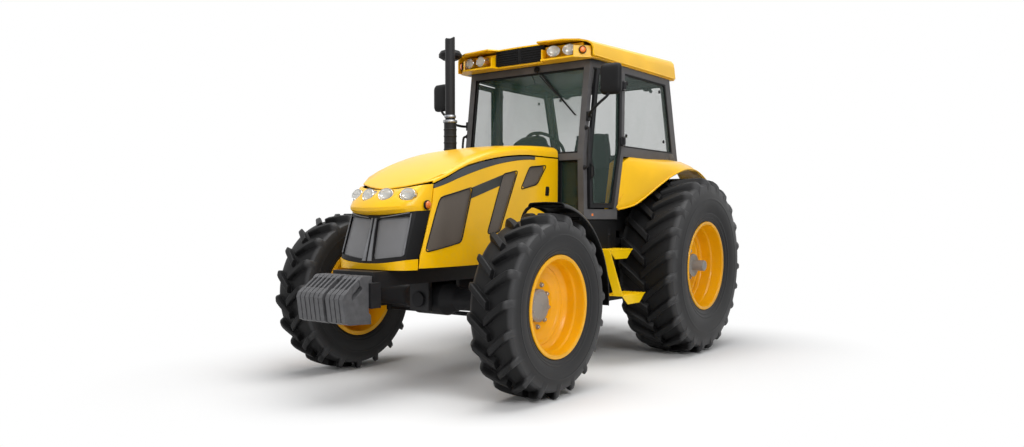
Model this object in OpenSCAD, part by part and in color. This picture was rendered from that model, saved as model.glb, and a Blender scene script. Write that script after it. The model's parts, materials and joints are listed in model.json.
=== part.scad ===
// Farm tractor with driven front axle, glazed cab, tilting hood, front weights and three-point hitch.
// Millimetres, +X forward, +Y left, +Z up, ground at z = 0.
// Modules are drawn with the rear axle at x = 0, and place() moves them to the middle of the length.

/* [Running gear] */
// Distance between the axles
wheelbase = 2680; // [2620:10:2800]
// Front track, between the middles of the tyres
front_track = 2060; // [2030:10:2140]
// Rear track, between the middles of the tyres
rear_track = 1840; // [1820:10:1960]
// Radius of a front tyre over its lugs
front_tyre_r = 680; // [660:5:700]
// Width of a front tyre
front_tyre_w = 385; // [365:5:400]
// Radius of a front rim's bead seat
front_rim_r = 359; // [340:1:375]
// Width of a front rim over its flanges
front_rim_w = 344; // [320:2:350]
// Radius of a rear tyre over its lugs
rear_tyre_r = 855; // [835:5:870]
// Width of a rear tyre
rear_tyre_w = 590; // [560:5:600]
// Radius of a rear rim's bead seat
rear_rim_r = 410; // [390:1:430]
// Width of a rear rim over its flanges
rear_rim_w = 524; // [500:2:530]
// Height of the lugs
lug_h = 48; // [40:1:54]
// Lugs on each half of a front tyre
front_lugs = 19; // [16:1:21]
// Lugs on each half of a rear tyre
rear_lugs = 23; // [20:1:25]
// Distance from a front tyre's middle in to its kingpin
kingpin_offset = 270; // [262:1:280]
// Length of a steering arm, kingpin to tie rod
steering_arm = 260; // [250:5:280]

/* [Hood] */
// Gap between the cab's front posts and the hood
hood_gap = 50; // [40:5:80]
// Reach of the grille ahead of the front axle
nose_overhang = 772; // [740:4:800]
// Half width of the hood
hood_half_w = 415; // [395:5:420]
// Height of the hood's lower edge
hood_low_z = 958; // [940:2:980]
// Height of the hood's top at the cab
hood_rear_z = 1958; // [1930:2:1970]
// Height of the lid's front edge
lid_front_z = 1545; // [1530:5:1560]
// Thickness of the hood panels
panel_t = 8; // [5:1:10]
// Reach of the front weights ahead of the grille
weight_reach = 450; // [430:5:470]
// Number of front weights
weight_count = 10; // [6:1:11]

/* [Cab] */
// Distance from the rear axle to the cab's front posts
cab_front = 1450; // [1420:5:1480]
// Half width of the cab at its front posts
cab_front_half_w = 662; // [640:2:680]
// Half width of the cab at its middle posts
cab_half_w = 725; // [715:1:740]
// Height of the door sill
sill_z = 1400; // [1390:2:1420]
// Height of the cab's frame under the roof
cab_top_z = 2700; // [2650:10:2740]
// Height of the roof at its rear
roof_h = 205; // [180:5:220]
// Thickness of the cab's posts
post_t = 58; // [50:1:60]
// Thickness of the glass
glass_t = 6; // [4:1:8]
// Height of the rear fenders' decks
deck_z = 1885; // [1870:5:1900]

/* [Rear hitch] */
// Length of the lower links between their eyes
lower_link_l = 920; // [880:5:960]
// Distance along a lower link to its lift rod
lift_rod_at = 420; // [400:5:440]
// Length of the lift rods between their eyes
lift_rod_l = 640; // [620:5:660]
// Half spread of the lower links
link_half_y = 400; // [390:5:420]

/* [Hidden] */
$fn = 64;

// Radial play of a running fit, and the gap round a panel that moves
fit = 0.05;
door_gap = 12;

// Lines along the length, from the rear axle
hood_rear = cab_front + hood_gap;
nose_x = wheelbase + nose_overhang;
weights_front = nose_x + weight_reach;
link_pivot = [-170, 560];
link_drop = 9;
link_eye_r = 40;
link_end_x = link_pivot.x - lower_link_l * cos(link_drop);
rear_reach = -link_end_x + link_eye_r;
mid_x = (weights_front - rear_reach) / 2;

// Wheels
front_y = front_track / 2;
rear_y = rear_track / 2;
kingpin_y = front_y - kingpin_offset;
rim_wall = 12;
flange_h = 22;
flange_t = 14;
hub_gap = 1;
front_hub_in = 151;
spindle_r = 60;

yellow = [0.98, 0.76, 0.02];
rim_yellow = [0.93, 0.63, 0.03];
grey = [0.40, 0.39, 0.39];
dark = [0.10, 0.10, 0.11];
rubber = [0.06, 0.06, 0.065];
iron = [0.40, 0.40, 0.41];
mesh_grey = [0.42, 0.37, 0.34];
clear = [0.75, 0.82, 0.80, 0.5];

// Shared shapes

// Moves a module from the rear axle to the middle of the length
module place() {
    translate([-mid_x, 0, 0]) children();
}

// The same piece on both sides
module both_sides() {
    children();
    mirror([0, 1, 0]) children();
}

// Block between two corners
module block(a, b) {
    translate(a) cube(b - a);
}

// Round bar along Y, X or Z
module bar_y(r, y0, y1) {
    translate([0, y0, 0]) rotate([-90, 0, 0]) cylinder(r = r, h = y1 - y0);
}

module bar_x(r, x0, x1) {
    translate([x0, 0, 0]) rotate([0, 90, 0]) cylinder(r = r, h = x1 - x0);
}

// Side outline (x, z) made a plate between two values of y
module side_plate(y0, y1) {
    translate([0, y1, 0]) rotate([90, 0, 0]) linear_extrude(y1 - y0) children();
}

// Front outline (y, z) made a plate between two values of x
module front_plate(x0, x1) {
    translate([x0, 0, 0]) rotate([90, 0, 90]) linear_extrude(x1 - x0) children();
}

// Oval outline (y, z)
function oval(ry, rz) = [for (a = [0:12:348]) [ry * cos(a), rz * sin(a)]];

function unit(v) = v / norm(v);
function mix(a, b, t) = a + (b - a) * t;
function cross2(a, b) = a.x * b.y - a.y * b.x;

// Height of a line through two points (x, z) and its x at a height
function x_at(p, q, z) = p.x + (q.x - p.x) * (z - p.y) / (q.y - p.y);

// Fillet at corner b between a and c
function corner_arc(a, b, c, r, n) =
    let (u = unit(a - b), v = unit(c - b), half = acos(u * v) / 2,
         mid = b + unit(u + v) * r / sin(half),
         p = b + u * r / tan(half) - mid, q = b + v * r / tan(half) - mid,
         a0 = atan2(p.y, p.x), turn = (atan2(q.y, q.x) - a0 + 540) % 360 - 180)
    [for (i = [0:n]) mid + r * [cos(a0 + turn * i / n), sin(a0 + turn * i / n)]];

// Outline with every corner rounded
function rounded(p, r, n = 4) =
    let (k = len(p))
    [for (i = [0:k - 1]) each corner_arc(p[(i + k - 1) % k], p[i], p[(i + 1) % k], r, n)];

// Convex outline, anticlockwise, moved inward by d
function inset(p, d) =
    let (k = len(p))
    [for (i = [0:k - 1])
        let (a = p[(i + k - 1) % k], b = p[i], c = p[(i + 1) % k],
             u = unit(b - a), v = unit(c - b),
             p0 = b + d * [-u.y, u.x], q0 = b + d * [-v.y, v.x],
             s = abs(cross2(u, v)) < 1e-6 ? 0 : cross2(q0 - p0, v) / cross2(u, v))
        p0 + u * s];

// Two triangles of a quad, seen clockwise from outside
function halves(a, b, c, d) = [[a, b, c], [a, c, d]];

// Curved sheet between an outer and an inner grid of points.
// With rows along +X and points from +Y to -Y the outer side faces up.
module sheet(outer, inner) {
    m = len(outer);
    n = len(outer[0]);
    k = m * n;
    points = concat([for (row = outer) each row], [for (row = inner) each row]);
    faces = concat(
        [for (i = [0:m - 2], j = [0:n - 2])
            each halves(i * n + j, (i + 1) * n + j, (i + 1) * n + j + 1, i * n + j + 1)],
        [for (i = [0:m - 2], j = [0:n - 2])
            each halves(k + i * n + j, k + i * n + j + 1, k + (i + 1) * n + j + 1, k + (i + 1) * n + j)],
        [for (j = [0:n - 2]) each halves(j, j + 1, k + j + 1, k + j)],
        [for (j = [0:n - 2], q = [(m - 1) * n])
            each halves(q + j + 1, q + j, k + q + j, k + q + j + 1)],
        [for (i = [0:m - 2]) each halves((i + 1) * n, i * n, k + i * n, k + (i + 1) * n)],
        [for (i = [0:m - 2], q = [n - 1])
            each halves(i * n + q, (i + 1) * n + q, k + (i + 1) * n + q, k + i * n + q)]);
    polyhedron(points, faces, convexity = 6);
}

// Solid through a row of four-cornered sections
module loft4(sections) {
    m = len(sections);
    points = [for (s = sections) each s];
    faces = concat(
        [for (i = [0:m - 2], j = [0:3])
            each halves(4 * i + j, 4 * i + (j + 1) % 4, 4 * i + 4 + (j + 1) % 4, 4 * i + 4 + j)],
        halves(3, 2, 1, 0),
        [for (q = [4 * (m - 1)]) each halves(q, q + 1, q + 2, q + 3)]);
    polyhedron(points, faces, convexity = 4);
}

// Wheels

// Half profile of a tyre: radius and distance from the middle
function tyre_half(r, w, rim_r, rim_w) =
    let (tread = r - lug_h, bead = [rim_r + flange_h + 4, rim_w / 2 - flange_t + 6],
         shoulder = [tread - 26, 0.46 * w], steps = 8)
    concat(
        [[rim_r, rim_w / 2 - flange_t], [rim_r + flange_h, rim_w / 2 - flange_t]],
        [for (i = [0:steps])
            let (t = i / steps, p = mix(bead, shoulder, t))
            [p.x, p.y + (w / 2 - mix(bead.y, shoulder.y, 0.5)) * sin(180 * t)]],
        [[tread - 7, 0.36 * w], [tread, 0.2 * w]]);

// Point of a tyre at a radius, an angle from the top toward the front, and a distance from the middle
function tyre_point(r, a, y) = [r * sin(a), y, r * cos(a)];

// One lug: a bar that leads at the crown, trails toward the shoulder and turns down over it
module lug(r, w, side) {
    // Share of the half width, sweep back, drop of the tip, drop of the root, widths of tip and root
    stations = [[-0.05, 0, 0, 0, 0.082, 0.112], [0.42, 0.40, 0, 4, 0.082, 0.116],
                [0.80, 0.68, 10, 16, 0.070, 0.126], [0.965, 0.74, 58, 88, 0.046, 0.150]];
    sections = [for (s = stations)
        let (y = s[0] * w / 2, back = s[1] * w / 2, top = r - s[2], low = r - lug_h - 16 - s[3])
        [for (c = [[top, s[4]], [top, -s[4]], [low, -s[5]], [low, s[5]]])
            tyre_point(c[0], (c[1] / 2 - back / r) * 180 / PI, side * y)]];
    loft4(side > 0 ? sections : [for (i = [len(sections) - 1:-1:0]) sections[i]]);
}

module tyre(r, w, rim_r, rim_w, lugs) {
    half = tyre_half(r, w, rim_r, rim_w);
    outline = concat(half, [for (i = [len(half) - 1:-1:0]) [half[i].x, -half[i].y]]);
    color(rubber) {
        rotate([-90, 0, 0]) rotate_extrude() polygon(outline);
        for (i = [0:lugs - 1]) {
            rotate([0, 360 * i / lugs, 0]) lug(r, w, 1);
            rotate([0, 360 * (i + 0.5) / lugs, 0]) lug(r, w, -1);
        }
    }
}

// Rim with flanges and drop centre, and a dished disc with its middle bore
module rim(rim_r, rim_w, disc_in, disc_out, bore_r) {
    half_w = rim_w / 2;
    seat = half_w - flange_t;
    well = 26;
    disc_t = 14;
    inner_r = rim_r - rim_wall;
    color(rim_yellow) rotate([-90, 0, 0]) {
        rotate_extrude() polygon([
            [inner_r, -half_w], [rim_r + flange_h, -half_w], [rim_r + flange_h, -seat], [rim_r, -seat],
            [rim_r, seat], [rim_r + flange_h, seat], [rim_r + flange_h, half_w], [inner_r, half_w],
            [inner_r, 0.3 * half_w], [inner_r - well, 0.2 * half_w], [inner_r - well, -0.2 * half_w],
            [inner_r, -0.3 * half_w]]);
        rotate_extrude() polygon([
            [bore_r, disc_in - disc_t], [bore_r + 90, disc_in - disc_t], [inner_r - 10, disc_out - disc_t],
            [inner_r - 10, disc_out], [bore_r + 90, disc_in], [bore_r, disc_in]]);
    }
}

front_disc = -46;
front_disc_out = 8;
front_cap_r = 122;
rear_disc = 20;
rear_disc_out = 30;
rear_cap_r = 150;
disc_t = 14;

module front_tyre() {
    tyre(front_tyre_r, front_tyre_w, front_rim_r, front_rim_w, front_lugs);
}

module front_rim() {
    rim(front_rim_r, front_rim_w, front_disc, front_disc_out, front_cap_r);
}

// Planetary hub: drum behind the disc, domed cap through it, bored for the knuckle's spindle
module front_hub() {
    color(iron) rotate([-90, 0, 0]) rotate_extrude() polygon([
        [spindle_r + fit, -front_hub_in + hub_gap], [168, -front_hub_in + hub_gap], [168, -78],
        [190, -74], [190, front_disc - disc_t], [front_cap_r, front_disc - disc_t],
        [front_cap_r, -6], [104, 6], [0, 14], [0, -80], [spindle_r + fit, -80]]);
}

module rear_tyre() {
    tyre(rear_tyre_r, rear_tyre_w, rear_rim_r, rear_rim_w, rear_lugs);
}

module rear_rim() {
    rim(rear_rim_r, rear_rim_w, rear_disc, rear_disc_out, rear_cap_r);
}

axle_shaft_r = 52;
trumpet_end = 610;

// Rear hub: clamp casting on a bar axle that runs into the axle trumpet
module rear_hub() {
    color(iron) {
        rotate([-90, 0, 0]) rotate_extrude() polygon([
            [0, trumpet_end - rear_y - 120], [axle_shaft_r, trumpet_end - rear_y - 120],
            [axle_shaft_r, -90], [110, -84], [130, rear_disc - disc_t - 24], [200, rear_disc - disc_t - 20],
            [200, rear_disc - disc_t], [rear_cap_r, rear_disc - disc_t], [rear_cap_r, rear_disc + 16],
            [112, rear_disc + 70], [112, rear_disc + 108], [axle_shaft_r, rear_disc + 108],
            [axle_shaft_r, 236], [46, 242], [0, 242]]);
    }
}

module at_front(side) {
    translate([wheelbase, side * front_y, front_tyre_r]) mirror([0, side > 0 ? 0 : 1, 0]) children();
}

module at_rear(side) {
    translate([0, side * rear_y, rear_tyre_r]) mirror([0, side > 0 ? 0 : 1, 0]) children();
}

module front_left_tyre() { at_front(1) front_tyre(); }
module front_left_rim() { at_front(1) front_rim(); }
module front_left_hub() { at_front(1) front_hub(); }
module front_right_tyre() { at_front(-1) front_tyre(); }
module front_right_rim() { at_front(-1) front_rim(); }
module front_right_hub() { at_front(-1) front_hub(); }
module rear_left_tyre() { at_rear(1) rear_tyre(); }
module rear_left_rim() { at_rear(1) rear_rim(); }
module rear_left_hub() { at_rear(1) rear_hub(); }
module rear_right_tyre() { at_rear(-1) rear_tyre(); }
module rear_right_rim() { at_rear(-1) rear_rim(); }
module rear_right_hub() { at_rear(-1) rear_hub(); }

// Axles and steering

boss_r = 70;
boss_h = 85;
kingpin_r = 30;
ear_gap = 1;
ear_t = 40;
bowl_r = 135;
trunnion_r = 60;
trunnion_l = 210;
tie_pin_r = 16;
tie_z = -boss_h - ear_gap - ear_t;

// Axle beam: differential bowl, tapered arms, kingpin bosses and the trunnion under the front support
module front_axle() {
    color(dark) translate([wheelbase, 0, front_tyre_r]) difference() {
        union() {
            rotate([-90, 0, 0]) rotate_extrude() polygon([
                [0, -kingpin_y], [62, -kingpin_y], [80, -kingpin_y + 90], [88, -260], [bowl_r, -150],
                [bowl_r, 150], [88, 260], [80, kingpin_y - 90], [62, kingpin_y], [0, kingpin_y]]);
            both_sides() translate([0, kingpin_y, -boss_h]) cylinder(r = boss_r, h = 2 * boss_h);
            bar_x(trunnion_r, -trunnion_l, trunnion_l);
        }
        both_sides() translate([0, kingpin_y, -boss_h - 1]) cylinder(r = kingpin_r + fit, h = 2 * boss_h + 2);
    }
}

// Left knuckle about its kingpin: ears, kingpin, drum, wheel spindle and steering arm
module knuckle() {
    face = kingpin_offset - front_hub_in;
    drum_y = boss_r + 12;
    translate([wheelbase, kingpin_y, front_tyre_r]) {
        translate([0, 0, tie_z]) cylinder(r = kingpin_r, h = -2 * tie_z);
        for (z = [tie_z, boss_h + ear_gap]) translate([0, 0, z]) {
            cylinder(r = boss_r, h = ear_t);
            translate([-boss_r, 0, 0]) cube([2 * boss_r, drum_y + 20, ear_t]);
        }
        bar_y(150, drum_y, face);
        bar_y(spindle_r, face - 10, kingpin_offset - 82);
        translate([-steering_arm, 0, tie_z]) {
            translate([0, -32, 0]) cube([steering_arm - boss_r + 20, 64, ear_t - 12]);
            cylinder(r = 32, h = ear_t - 12);
            translate([0, 0, -46]) cylinder(r = tie_pin_r, h = 50);
        }
    }
}

module left_knuckle() { color(dark) knuckle(); }

module right_knuckle() { color(dark) mirror([0, 1, 0]) knuckle(); }

// Tie rod between the two steering arms; the right eye is looser than the left
module tie_rod() {
    rod_z = front_tyre_r + tie_z - 24;
    color(dark) translate([wheelbase - steering_arm, 0, rod_z]) difference() {
        union() {
            bar_y(18, -kingpin_y, kingpin_y);
            for (s = [-1, 1]) translate([0, s * kingpin_y, -22]) cylinder(r = 30, h = 44);
        }
        translate([0, kingpin_y, -23]) cylinder(r = tie_pin_r + fit, h = 46);
        translate([0, -kingpin_y, -23]) cylinder(r = tie_pin_r + 0.6, h = 46);
    }
}

guard_r = front_tyre_r + 75;
guard_t = 6;
guard_in = -140;
guard_out = 165;
guard_front = 28;
guard_back = 95;

// Steered mudguard over the left front tyre: arched top, straight lip ahead
module front_mudguard() {
    steps = 16;
    profile = [[guard_in, -26], [guard_in + 14, -6], [guard_in + 60, 0], [guard_out - 40, 0],
               [guard_out - 12, -8], [guard_out, -30]];
    function row(r) = [for (i = [steps:-1:0])
        let (a = mix(-guard_back, guard_front, i / steps))
        [for (j = [len(profile) - 1:-1:0])
            let (p = profile[j], rise = a > 0 ? 1 / cos(a) : 1)
            tyre_point((r + p.y) * rise, a, p.x)]];
    outer = row(guard_r + guard_t);
    inner = row(guard_r);
    color(dark) at_front(1) {
        sheet([for (i = [steps:-1:0]) outer[i]], [for (i = [steps:-1:0]) inner[i]]);
        mudguard_bracket();
    }
}

// Arm from the left knuckle's upper ear up and out to the mudguard's underside
module mudguard_bracket() {
    low = boss_h + ear_gap + ear_t;
    reach = guard_in + 90;
    translate([-40, -kingpin_offset - 40, low]) cube([80, 80, 14]);
    translate([-25, -kingpin_offset - 40, low]) cube([50, 14, guard_r - low - 60]);
    translate([-25, -kingpin_offset - 40, guard_r - 74]) cube([50, reach + kingpin_offset + 40, 14]);
    translate([-25, reach - 14, guard_r - 74]) cube([50, 14, 76]);
}

// Chassis

engine_half_w = 280;
engine_low_z = 940;
engine_top_z = 1630;
engine_front = wheelbase + 270;
sump_back = hood_rear + 60;
support_back = wheelbase - 440;
support_half_w = 210;
support_low_z = front_tyre_r + bowl_r + 15;
gearbox_half_w = 220;
gearbox_low_z = 560;
gearbox_top_z = 1180;
gearbox_back = -330;

// Engine: one plain block with its sump
module engine() {
    color(dark) {
        block([hood_rear, -engine_half_w, engine_low_z], [engine_front, engine_half_w, engine_top_z]);
        block([sump_back, -200, 700], [support_back - 20, 200, engine_low_z + 1]);
    }
}

carrier_x = weights_front - 340;
carrier_low_z = 690;
carrier_top_z = 868;
carrier_half_w = 265;

// Bolster under the nose with the axle's trunnion legs and the weight carrier
module front_support() {
    color(iron) {
        difference() {
            union() {
                block([support_back, -support_half_w, support_low_z],
                      [carrier_x + 20, support_half_w, engine_low_z]);
                for (x = [-190, 150])
                    block([wheelbase + x, -100, front_tyre_r - 90],
                          [wheelbase + x + 40, 100, support_low_z + 10]);
            }
            translate([wheelbase, 0, front_tyre_r]) bar_x(trunnion_r, -trunnion_l - 30, trunnion_l + 30);
        }
        block([carrier_x, -carrier_half_w, carrier_low_z],
              [carrier_x + 95, carrier_half_w, carrier_top_z]);
        block([carrier_x - 30, -support_half_w, carrier_low_z],
              [carrier_x + 10, support_half_w, engine_low_z]);
    }
}

// The weights stand in two groups with a wider gap between them
weight_split = 6;
weight_split_gap = 24;
weight_pitch = (2 * (carrier_half_w - 20) - weight_split_gap) / weight_count;
weight_t = min(44, weight_pitch - 2);

// Suitcase weights hooked over the carrier, side by side, each thinner at its handle
module front_weights() {
    back = carrier_x + 95;
    outline = [[weights_front - 65, 588], [weights_front - 22, 606], [weights_front, 770],
               [weights_front - 14, 800], [back + 60, 918], [back - 34, 918], [back - 34, carrier_top_z],
               [back, carrier_top_z], [back, 660], [back - 20, 640], [back - 20, 578]];
    color(iron) for (i = [0:weight_count - 1])
        translate([0, (i - (weight_count - 1) / 2) * weight_pitch - weight_t / 2
                      + (i < weight_split ? -0.5 : 0.5) * weight_split_gap, 0])
            difference() {
                side_plate(0, weight_t) polygon(outline);
                side_plate(-1, weight_t + 1) polygon(rounded(
                    [[back + 60, 830], [weights_front - 90, 752],
                     [weights_front - 80, 780], [back + 70, 860]], 9));
                for (y = [-1, weight_t - 11]) side_plate(y, y + 12) polygon([
                    [back + 75, 848], [weights_front - 95, 768],
                    [weights_front - 55, 850], [back + 100, 940]]);
            }
}

lift_top = [link_pivot.x, link_pivot.y + lift_rod_l];
rockshaft_r = 36;
pto_r = 17.5;
pto_z = 690;
trumpet_r = 120;

// Gearbox, rear axle trumpets, lift housing, cab mounts, tank brackets, hitch lugs and power take-off stub
module transmission() {
    shaft_y = trumpet_end - 121;
    color(dark) difference() {
        union() {
            block([120, -gearbox_half_w, gearbox_low_z], [hood_rear, gearbox_half_w, gearbox_top_z]);
            block([gearbox_back, -300, gearbox_low_z], [260, 300, gearbox_top_z - 60]);
            block([gearbox_back - 20, -250, gearbox_top_z - 80], [60, 250, lift_top.y + 80]);
            both_sides() {
                translate([0, 0, rear_tyre_r]) rotate([-90, 0, 0]) rotate_extrude() polygon([
                    [0, 280], [210, 280], [210, 330], [150, 380], [trumpet_r, trumpet_end - 60],
                    [trumpet_r, trumpet_end], [0, trumpet_end]]);
                for (x = [-60, 1180]) block([x, 120, gearbox_top_z - 70], [x + 90, 210, sill_z - 70]);
                block([1080, gearbox_half_w - 10, 820], [1260, tank_in, 1000]);
                block([link_pivot.x - 60, 290, link_pivot.y - 60],
                      [link_pivot.x + 60, link_half_y - 16, link_pivot.y + 60]);
            }
            translate([0, 0, pto_z]) bar_x(pto_r, gearbox_back - 120, gearbox_back + 10);
            block([gearbox_back - 140, -130, pto_z + 120], [gearbox_back + 10, 130, pto_z + 128]);
            for (y = [-34, 18]) block([gearbox_back - 60, y, 930], [gearbox_back + 10, y + 16, 1030]);
        }
        both_sides() translate([0, 0, rear_tyre_r]) bar_y(axle_shaft_r + fit, shaft_y, trumpet_end + 1);
        translate([lift_top.x, 0, lift_top.y]) bar_y(rockshaft_r + fit, -260, 260);
        both_sides() side_eye(link_pivot, pivot_pin_r + fit, 328, link_half_y);
    }
}

// Drawbar in its hanger, with the hitch pin's bore at its end
module drawbar() {
    color(dark) difference() {
        union() {
            block([-900, -45, 430], [200, 45, 475]);
            translate([-900, 0, 430]) cylinder(r = 45, h = 45);
            for (x = [-250, 120]) block([x, -80, 475], [x + 60, 80, gearbox_low_z]);
        }
        translate([-900, 0, 429]) cylinder(r = 17, h = 47);
    }
}

// Three-point hitch. In its side view the lower link, lift rod and lift arm make a parallelogram.

link_t = 30;
link_dir = [-cos(link_drop), -sin(link_drop)];
rod_low = link_pivot + lift_rod_at * link_dir;
rod_top = lift_top + lift_rod_at * link_dir;
rod_y = link_half_y + link_t / 2 + 3;
rod_t = 24;
arm_y = rod_y + rod_t + 3;
arm_t = 26;
hitch_pin_r = 16;
pivot_pin_r = 22;
ball_r = 14.35;

module side_eye(p, r, y0, y1) {
    translate([p.x, 0, p.y]) bar_y(r, y0, y1);
}

// Flat bar between two eyes in side view
module side_link(p, q, w, y0, y1) {
    d = unit(q - p);
    e = [-d.y, d.x] * w / 2;
    side_plate(y0, y1) polygon([p + e, p - e, q - e, q + e]);
}

module lower_links() {
    tip = link_pivot + lower_link_l * link_dir;
    y0 = link_half_y - link_t / 2;
    y1 = link_half_y + link_t / 2;
    color(dark) both_sides() difference() {
        union() {
            side_link(link_pivot, tip, 70, y0, y1);
            side_eye(link_pivot, 45, y0, y1);
            side_eye(tip, link_eye_r, y0 - 6, y1 + 6);
            side_eye(rod_low, 45, y0, y1);
            side_eye(rod_low, hitch_pin_r, y1 - 5, rod_y + rod_t + 2);
            side_eye(link_pivot, pivot_pin_r, 330, y0 + 5);
        }
        side_eye(tip, ball_r, y0 - 7, y1 + 7);
    }
}

module lift_arms() {
    color(dark) {
        side_eye(lift_top, rockshaft_r, -arm_y - arm_t, arm_y + arm_t);
        both_sides() {
            side_link(lift_top, rod_top, 72, arm_y, arm_y + arm_t);
            side_eye(lift_top, 62, arm_y, arm_y + arm_t);
            side_eye(rod_top, 42, arm_y, arm_y + arm_t);
            side_eye(rod_top, hitch_pin_r, rod_y, arm_y + 5);
        }
    }
}

// Lift rods: the lower eye turns on the link's pin, the upper eye has room round the arm's pin
module lift_rods() {
    color(dark) both_sides() difference() {
        union() {
            side_link(rod_low, rod_top, 36, rod_y, rod_y + rod_t);
            side_eye(rod_low, 36, rod_y, rod_y + rod_t);
            side_eye(rod_top, 36, rod_y, rod_y + rod_t);
        }
        side_eye(rod_low, hitch_pin_r + fit, rod_y - 1, rod_y + rod_t + 1);
        side_eye(rod_top, hitch_pin_r + 0.6, rod_y - 1, rod_y + rod_t + 1);
    }
}

module top_link() {
    front = [gearbox_back - 36, 980];
    back = [gearbox_back - 560, 860];
    color(dark) difference() {
        union() {
            side_eye(front, 30, -18, 18);
            side_link(front, back, 44, -18, 18);
            side_eye(back, 36, -26, 26);
        }
        side_eye(back, 12.85, -27, 27);
    }
}

// Hood

curve_x = nose_x - 500;
lid_front = nose_x - 197;
lid_corner_back = 150;

// Height of the hood's top along its middle
function hood_top(x) =
    hood_rear_z - (hood_rear_z - lid_front_z) * pow(max(0, (x - hood_rear) / (lid_front - hood_rear)), 2.5);

stripe_front = nose_x - 180;
stripe_back = hood_rear + 350;
// Heights of the stripe's edges, from its rear end to the nose
function stripe_top(x) =
    min(1844 - 290 * pow(max(0, (x - stripe_back) / (stripe_front - stripe_back)), 1.9),
        hood_top(x) - lid_crown - 2 * lid_edge_r - lid_gap);
function stripe_low(x) = 1817 - 336 * pow(max(0, (x - stripe_back) / (stripe_front - stripe_back)), 1.7);

// Nose in plan: reach and squareness at a height
function nose_reach(z) = nose_x - max(0, z - 1040) * 0.32;
function squareness(z) = z > 1400 ? 2.1 : mix(3, 2.1, max(0, z - 1000) / 400);

// Half width of the side skin at a point along the hood
function skin_y(x, z) =
    let (t = min(0.985, max(0, (x - curve_x) / (nose_reach(z) - curve_x))), n = squareness(z))
    hood_half_w * pow(1 - pow(t, n), 1 / n);

// Place along the hood where the side skin comes in to a half width
function skin_x(y, z) =
    let (n = squareness(z)) curve_x + (nose_reach(z) - curve_x) * pow(1 - pow(y / hood_half_w, n), 1 / n);

nose_half_w = hood_half_w - 52;
nose_t = 18;
nose_cols = 24;
seam = 2;
lid_corner_z = lid_front_z + 42;
lid_gap = 8;
lid_crown = 22;
lid_edge_r = 12;
lid_hinge = [hood_rear + 22, hood_rear_z - 45];
lid_hinge_y = 250;
lid_pin_r = 8;

// Front edge of the lid in plan
function lid_edge(y) =
    let (back = skin_x(nose_half_w, lid_corner_z) - lid_gap, c = min(1, abs(y) / nose_half_w))
    back + (lid_front - back) * sqrt(1 - c * c);

// Lid: crowned top between rounded shoulders, its sides down to the stripe, hinged at the rear
module hood_lid() {
    rows = 14;
    shoulder = 70;
    flat = hood_half_w - shoulder;
    function lid_row(i, t) = let (u = i / rows)
        [for (k = [-8:8])
            let (s = abs(k) / 8, side = k > 0 ? -1 : 1, a = 90 * min(1, max(0, (s - 0.5) / 0.375)),
                 x = mix(hood_rear, lid_edge(s <= 0.5 ? flat * s / 0.5 : flat + shoulder * sin(a)), u),
                 top = hood_top(x) - lid_crown * pow(min(s, 0.625) / 0.625, 2),
                 r = min(shoulder, max(lid_edge_r, (top - stripe_top(x)) / 2)),
                 w = skin_y(x, lid_corner_z),
                 y = s <= 0.5 ? (w - r) * s / 0.5 : w - r + r * sin(a),
                 low = min(stripe_top(x) + lid_gap + 2, top - r - 2),
                 z = s <= 0.5 ? top : s < 1 ? top - r + r * cos(a) : low)
            [x, side * (s > 0.5 ? y - t : y), z - (s < 0.75 ? t : 0)]];
    color(yellow) {
        sheet([for (i = [0:rows]) lid_row(i, 0)], [for (i = [0:rows]) lid_row(i, panel_t)]);
        both_sides() translate([lid_hinge.x, lid_hinge_y, lid_hinge.y]) difference() {
            union() {
                bar_y(14, -20, 20);
                block([-9, -20, 8], [9, 20, hood_top(lid_hinge.x) - lid_hinge.y - panel_t / 2 - 11]);
            }
            bar_y(lid_pin_r + fit, -21, 21);
        }
    }
}

// Side panel outline rows from its low edge to the stripe
module side_skin(depth, t, corners, cols, rows) {
    function grid(d) = [for (i = [0:cols])
        [for (j = [0:rows])
            let (low = mix(corners[0], corners[1], i / cols), high = mix(corners[3], corners[2], i / cols),
                 p = mix(low, high, j / rows))
            [p.x, skin_y(p.x, p.y) - d, p.y]]];
    sheet(grid(depth), grid(depth + t));
}

// Share of the way along the hood at a column; columns stand closer where the nose curves
function along_hood(u) = 1 - pow(1 - u, 1.6);

// Mesh windows in the side panels, as corners low-back, low-front, high-front, high-back
front_mesh = [[wheelbase + 165, 1141], [wheelbase + 545, 1074],
              [wheelbase + 385, 1479], [wheelbase + 25, 1562]];
middle_mesh = [[wheelbase - 320, 1210], [wheelbase - 155, 1197],
               [wheelbase - 368, 1677], [wheelbase - 574, 1715]];
rear_mesh = [[wheelbase - 855, 1608], [wheelbase - 611, 1559],
             [wheelbase - 742, 1752], [wheelbase - 1000, 1777]];
mesh_windows = [front_mesh, middle_mesh, rear_mesh];

// Side panel: up to the lid behind the stripe, and up to the stripe ahead of its rear end
module hood_side() {
    tail = 5;
    cols = 29;
    rows = 6;
    function grid(d) = [for (i = [0:cols])
        [for (j = [0:rows])
            let (v = j / rows, edge = skin_x(nose_half_w, mix(hood_low_z, 1500, v)) - nose_t - 2 * seam,
                 x = i <= tail ? mix(hood_rear, stripe_back - 1, i / tail)
                     : mix(stripe_back + 1, edge, along_hood((i - tail - 1) / (cols - tail - 1))),
                 z = mix(hood_low_z, (i <= tail ? stripe_top(x) : stripe_low(x)) - seam, v))
            [x, skin_y(x, z) - d, z]]];
    difference() {
        sheet(grid(0), grid(panel_t));
        for (w = mesh_windows) side_plate(0, hood_half_w + 10) polygon(rounded(w, 26));
    }
}

module hood_sides() {
    color(yellow) both_sides() hood_side();
}

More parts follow.
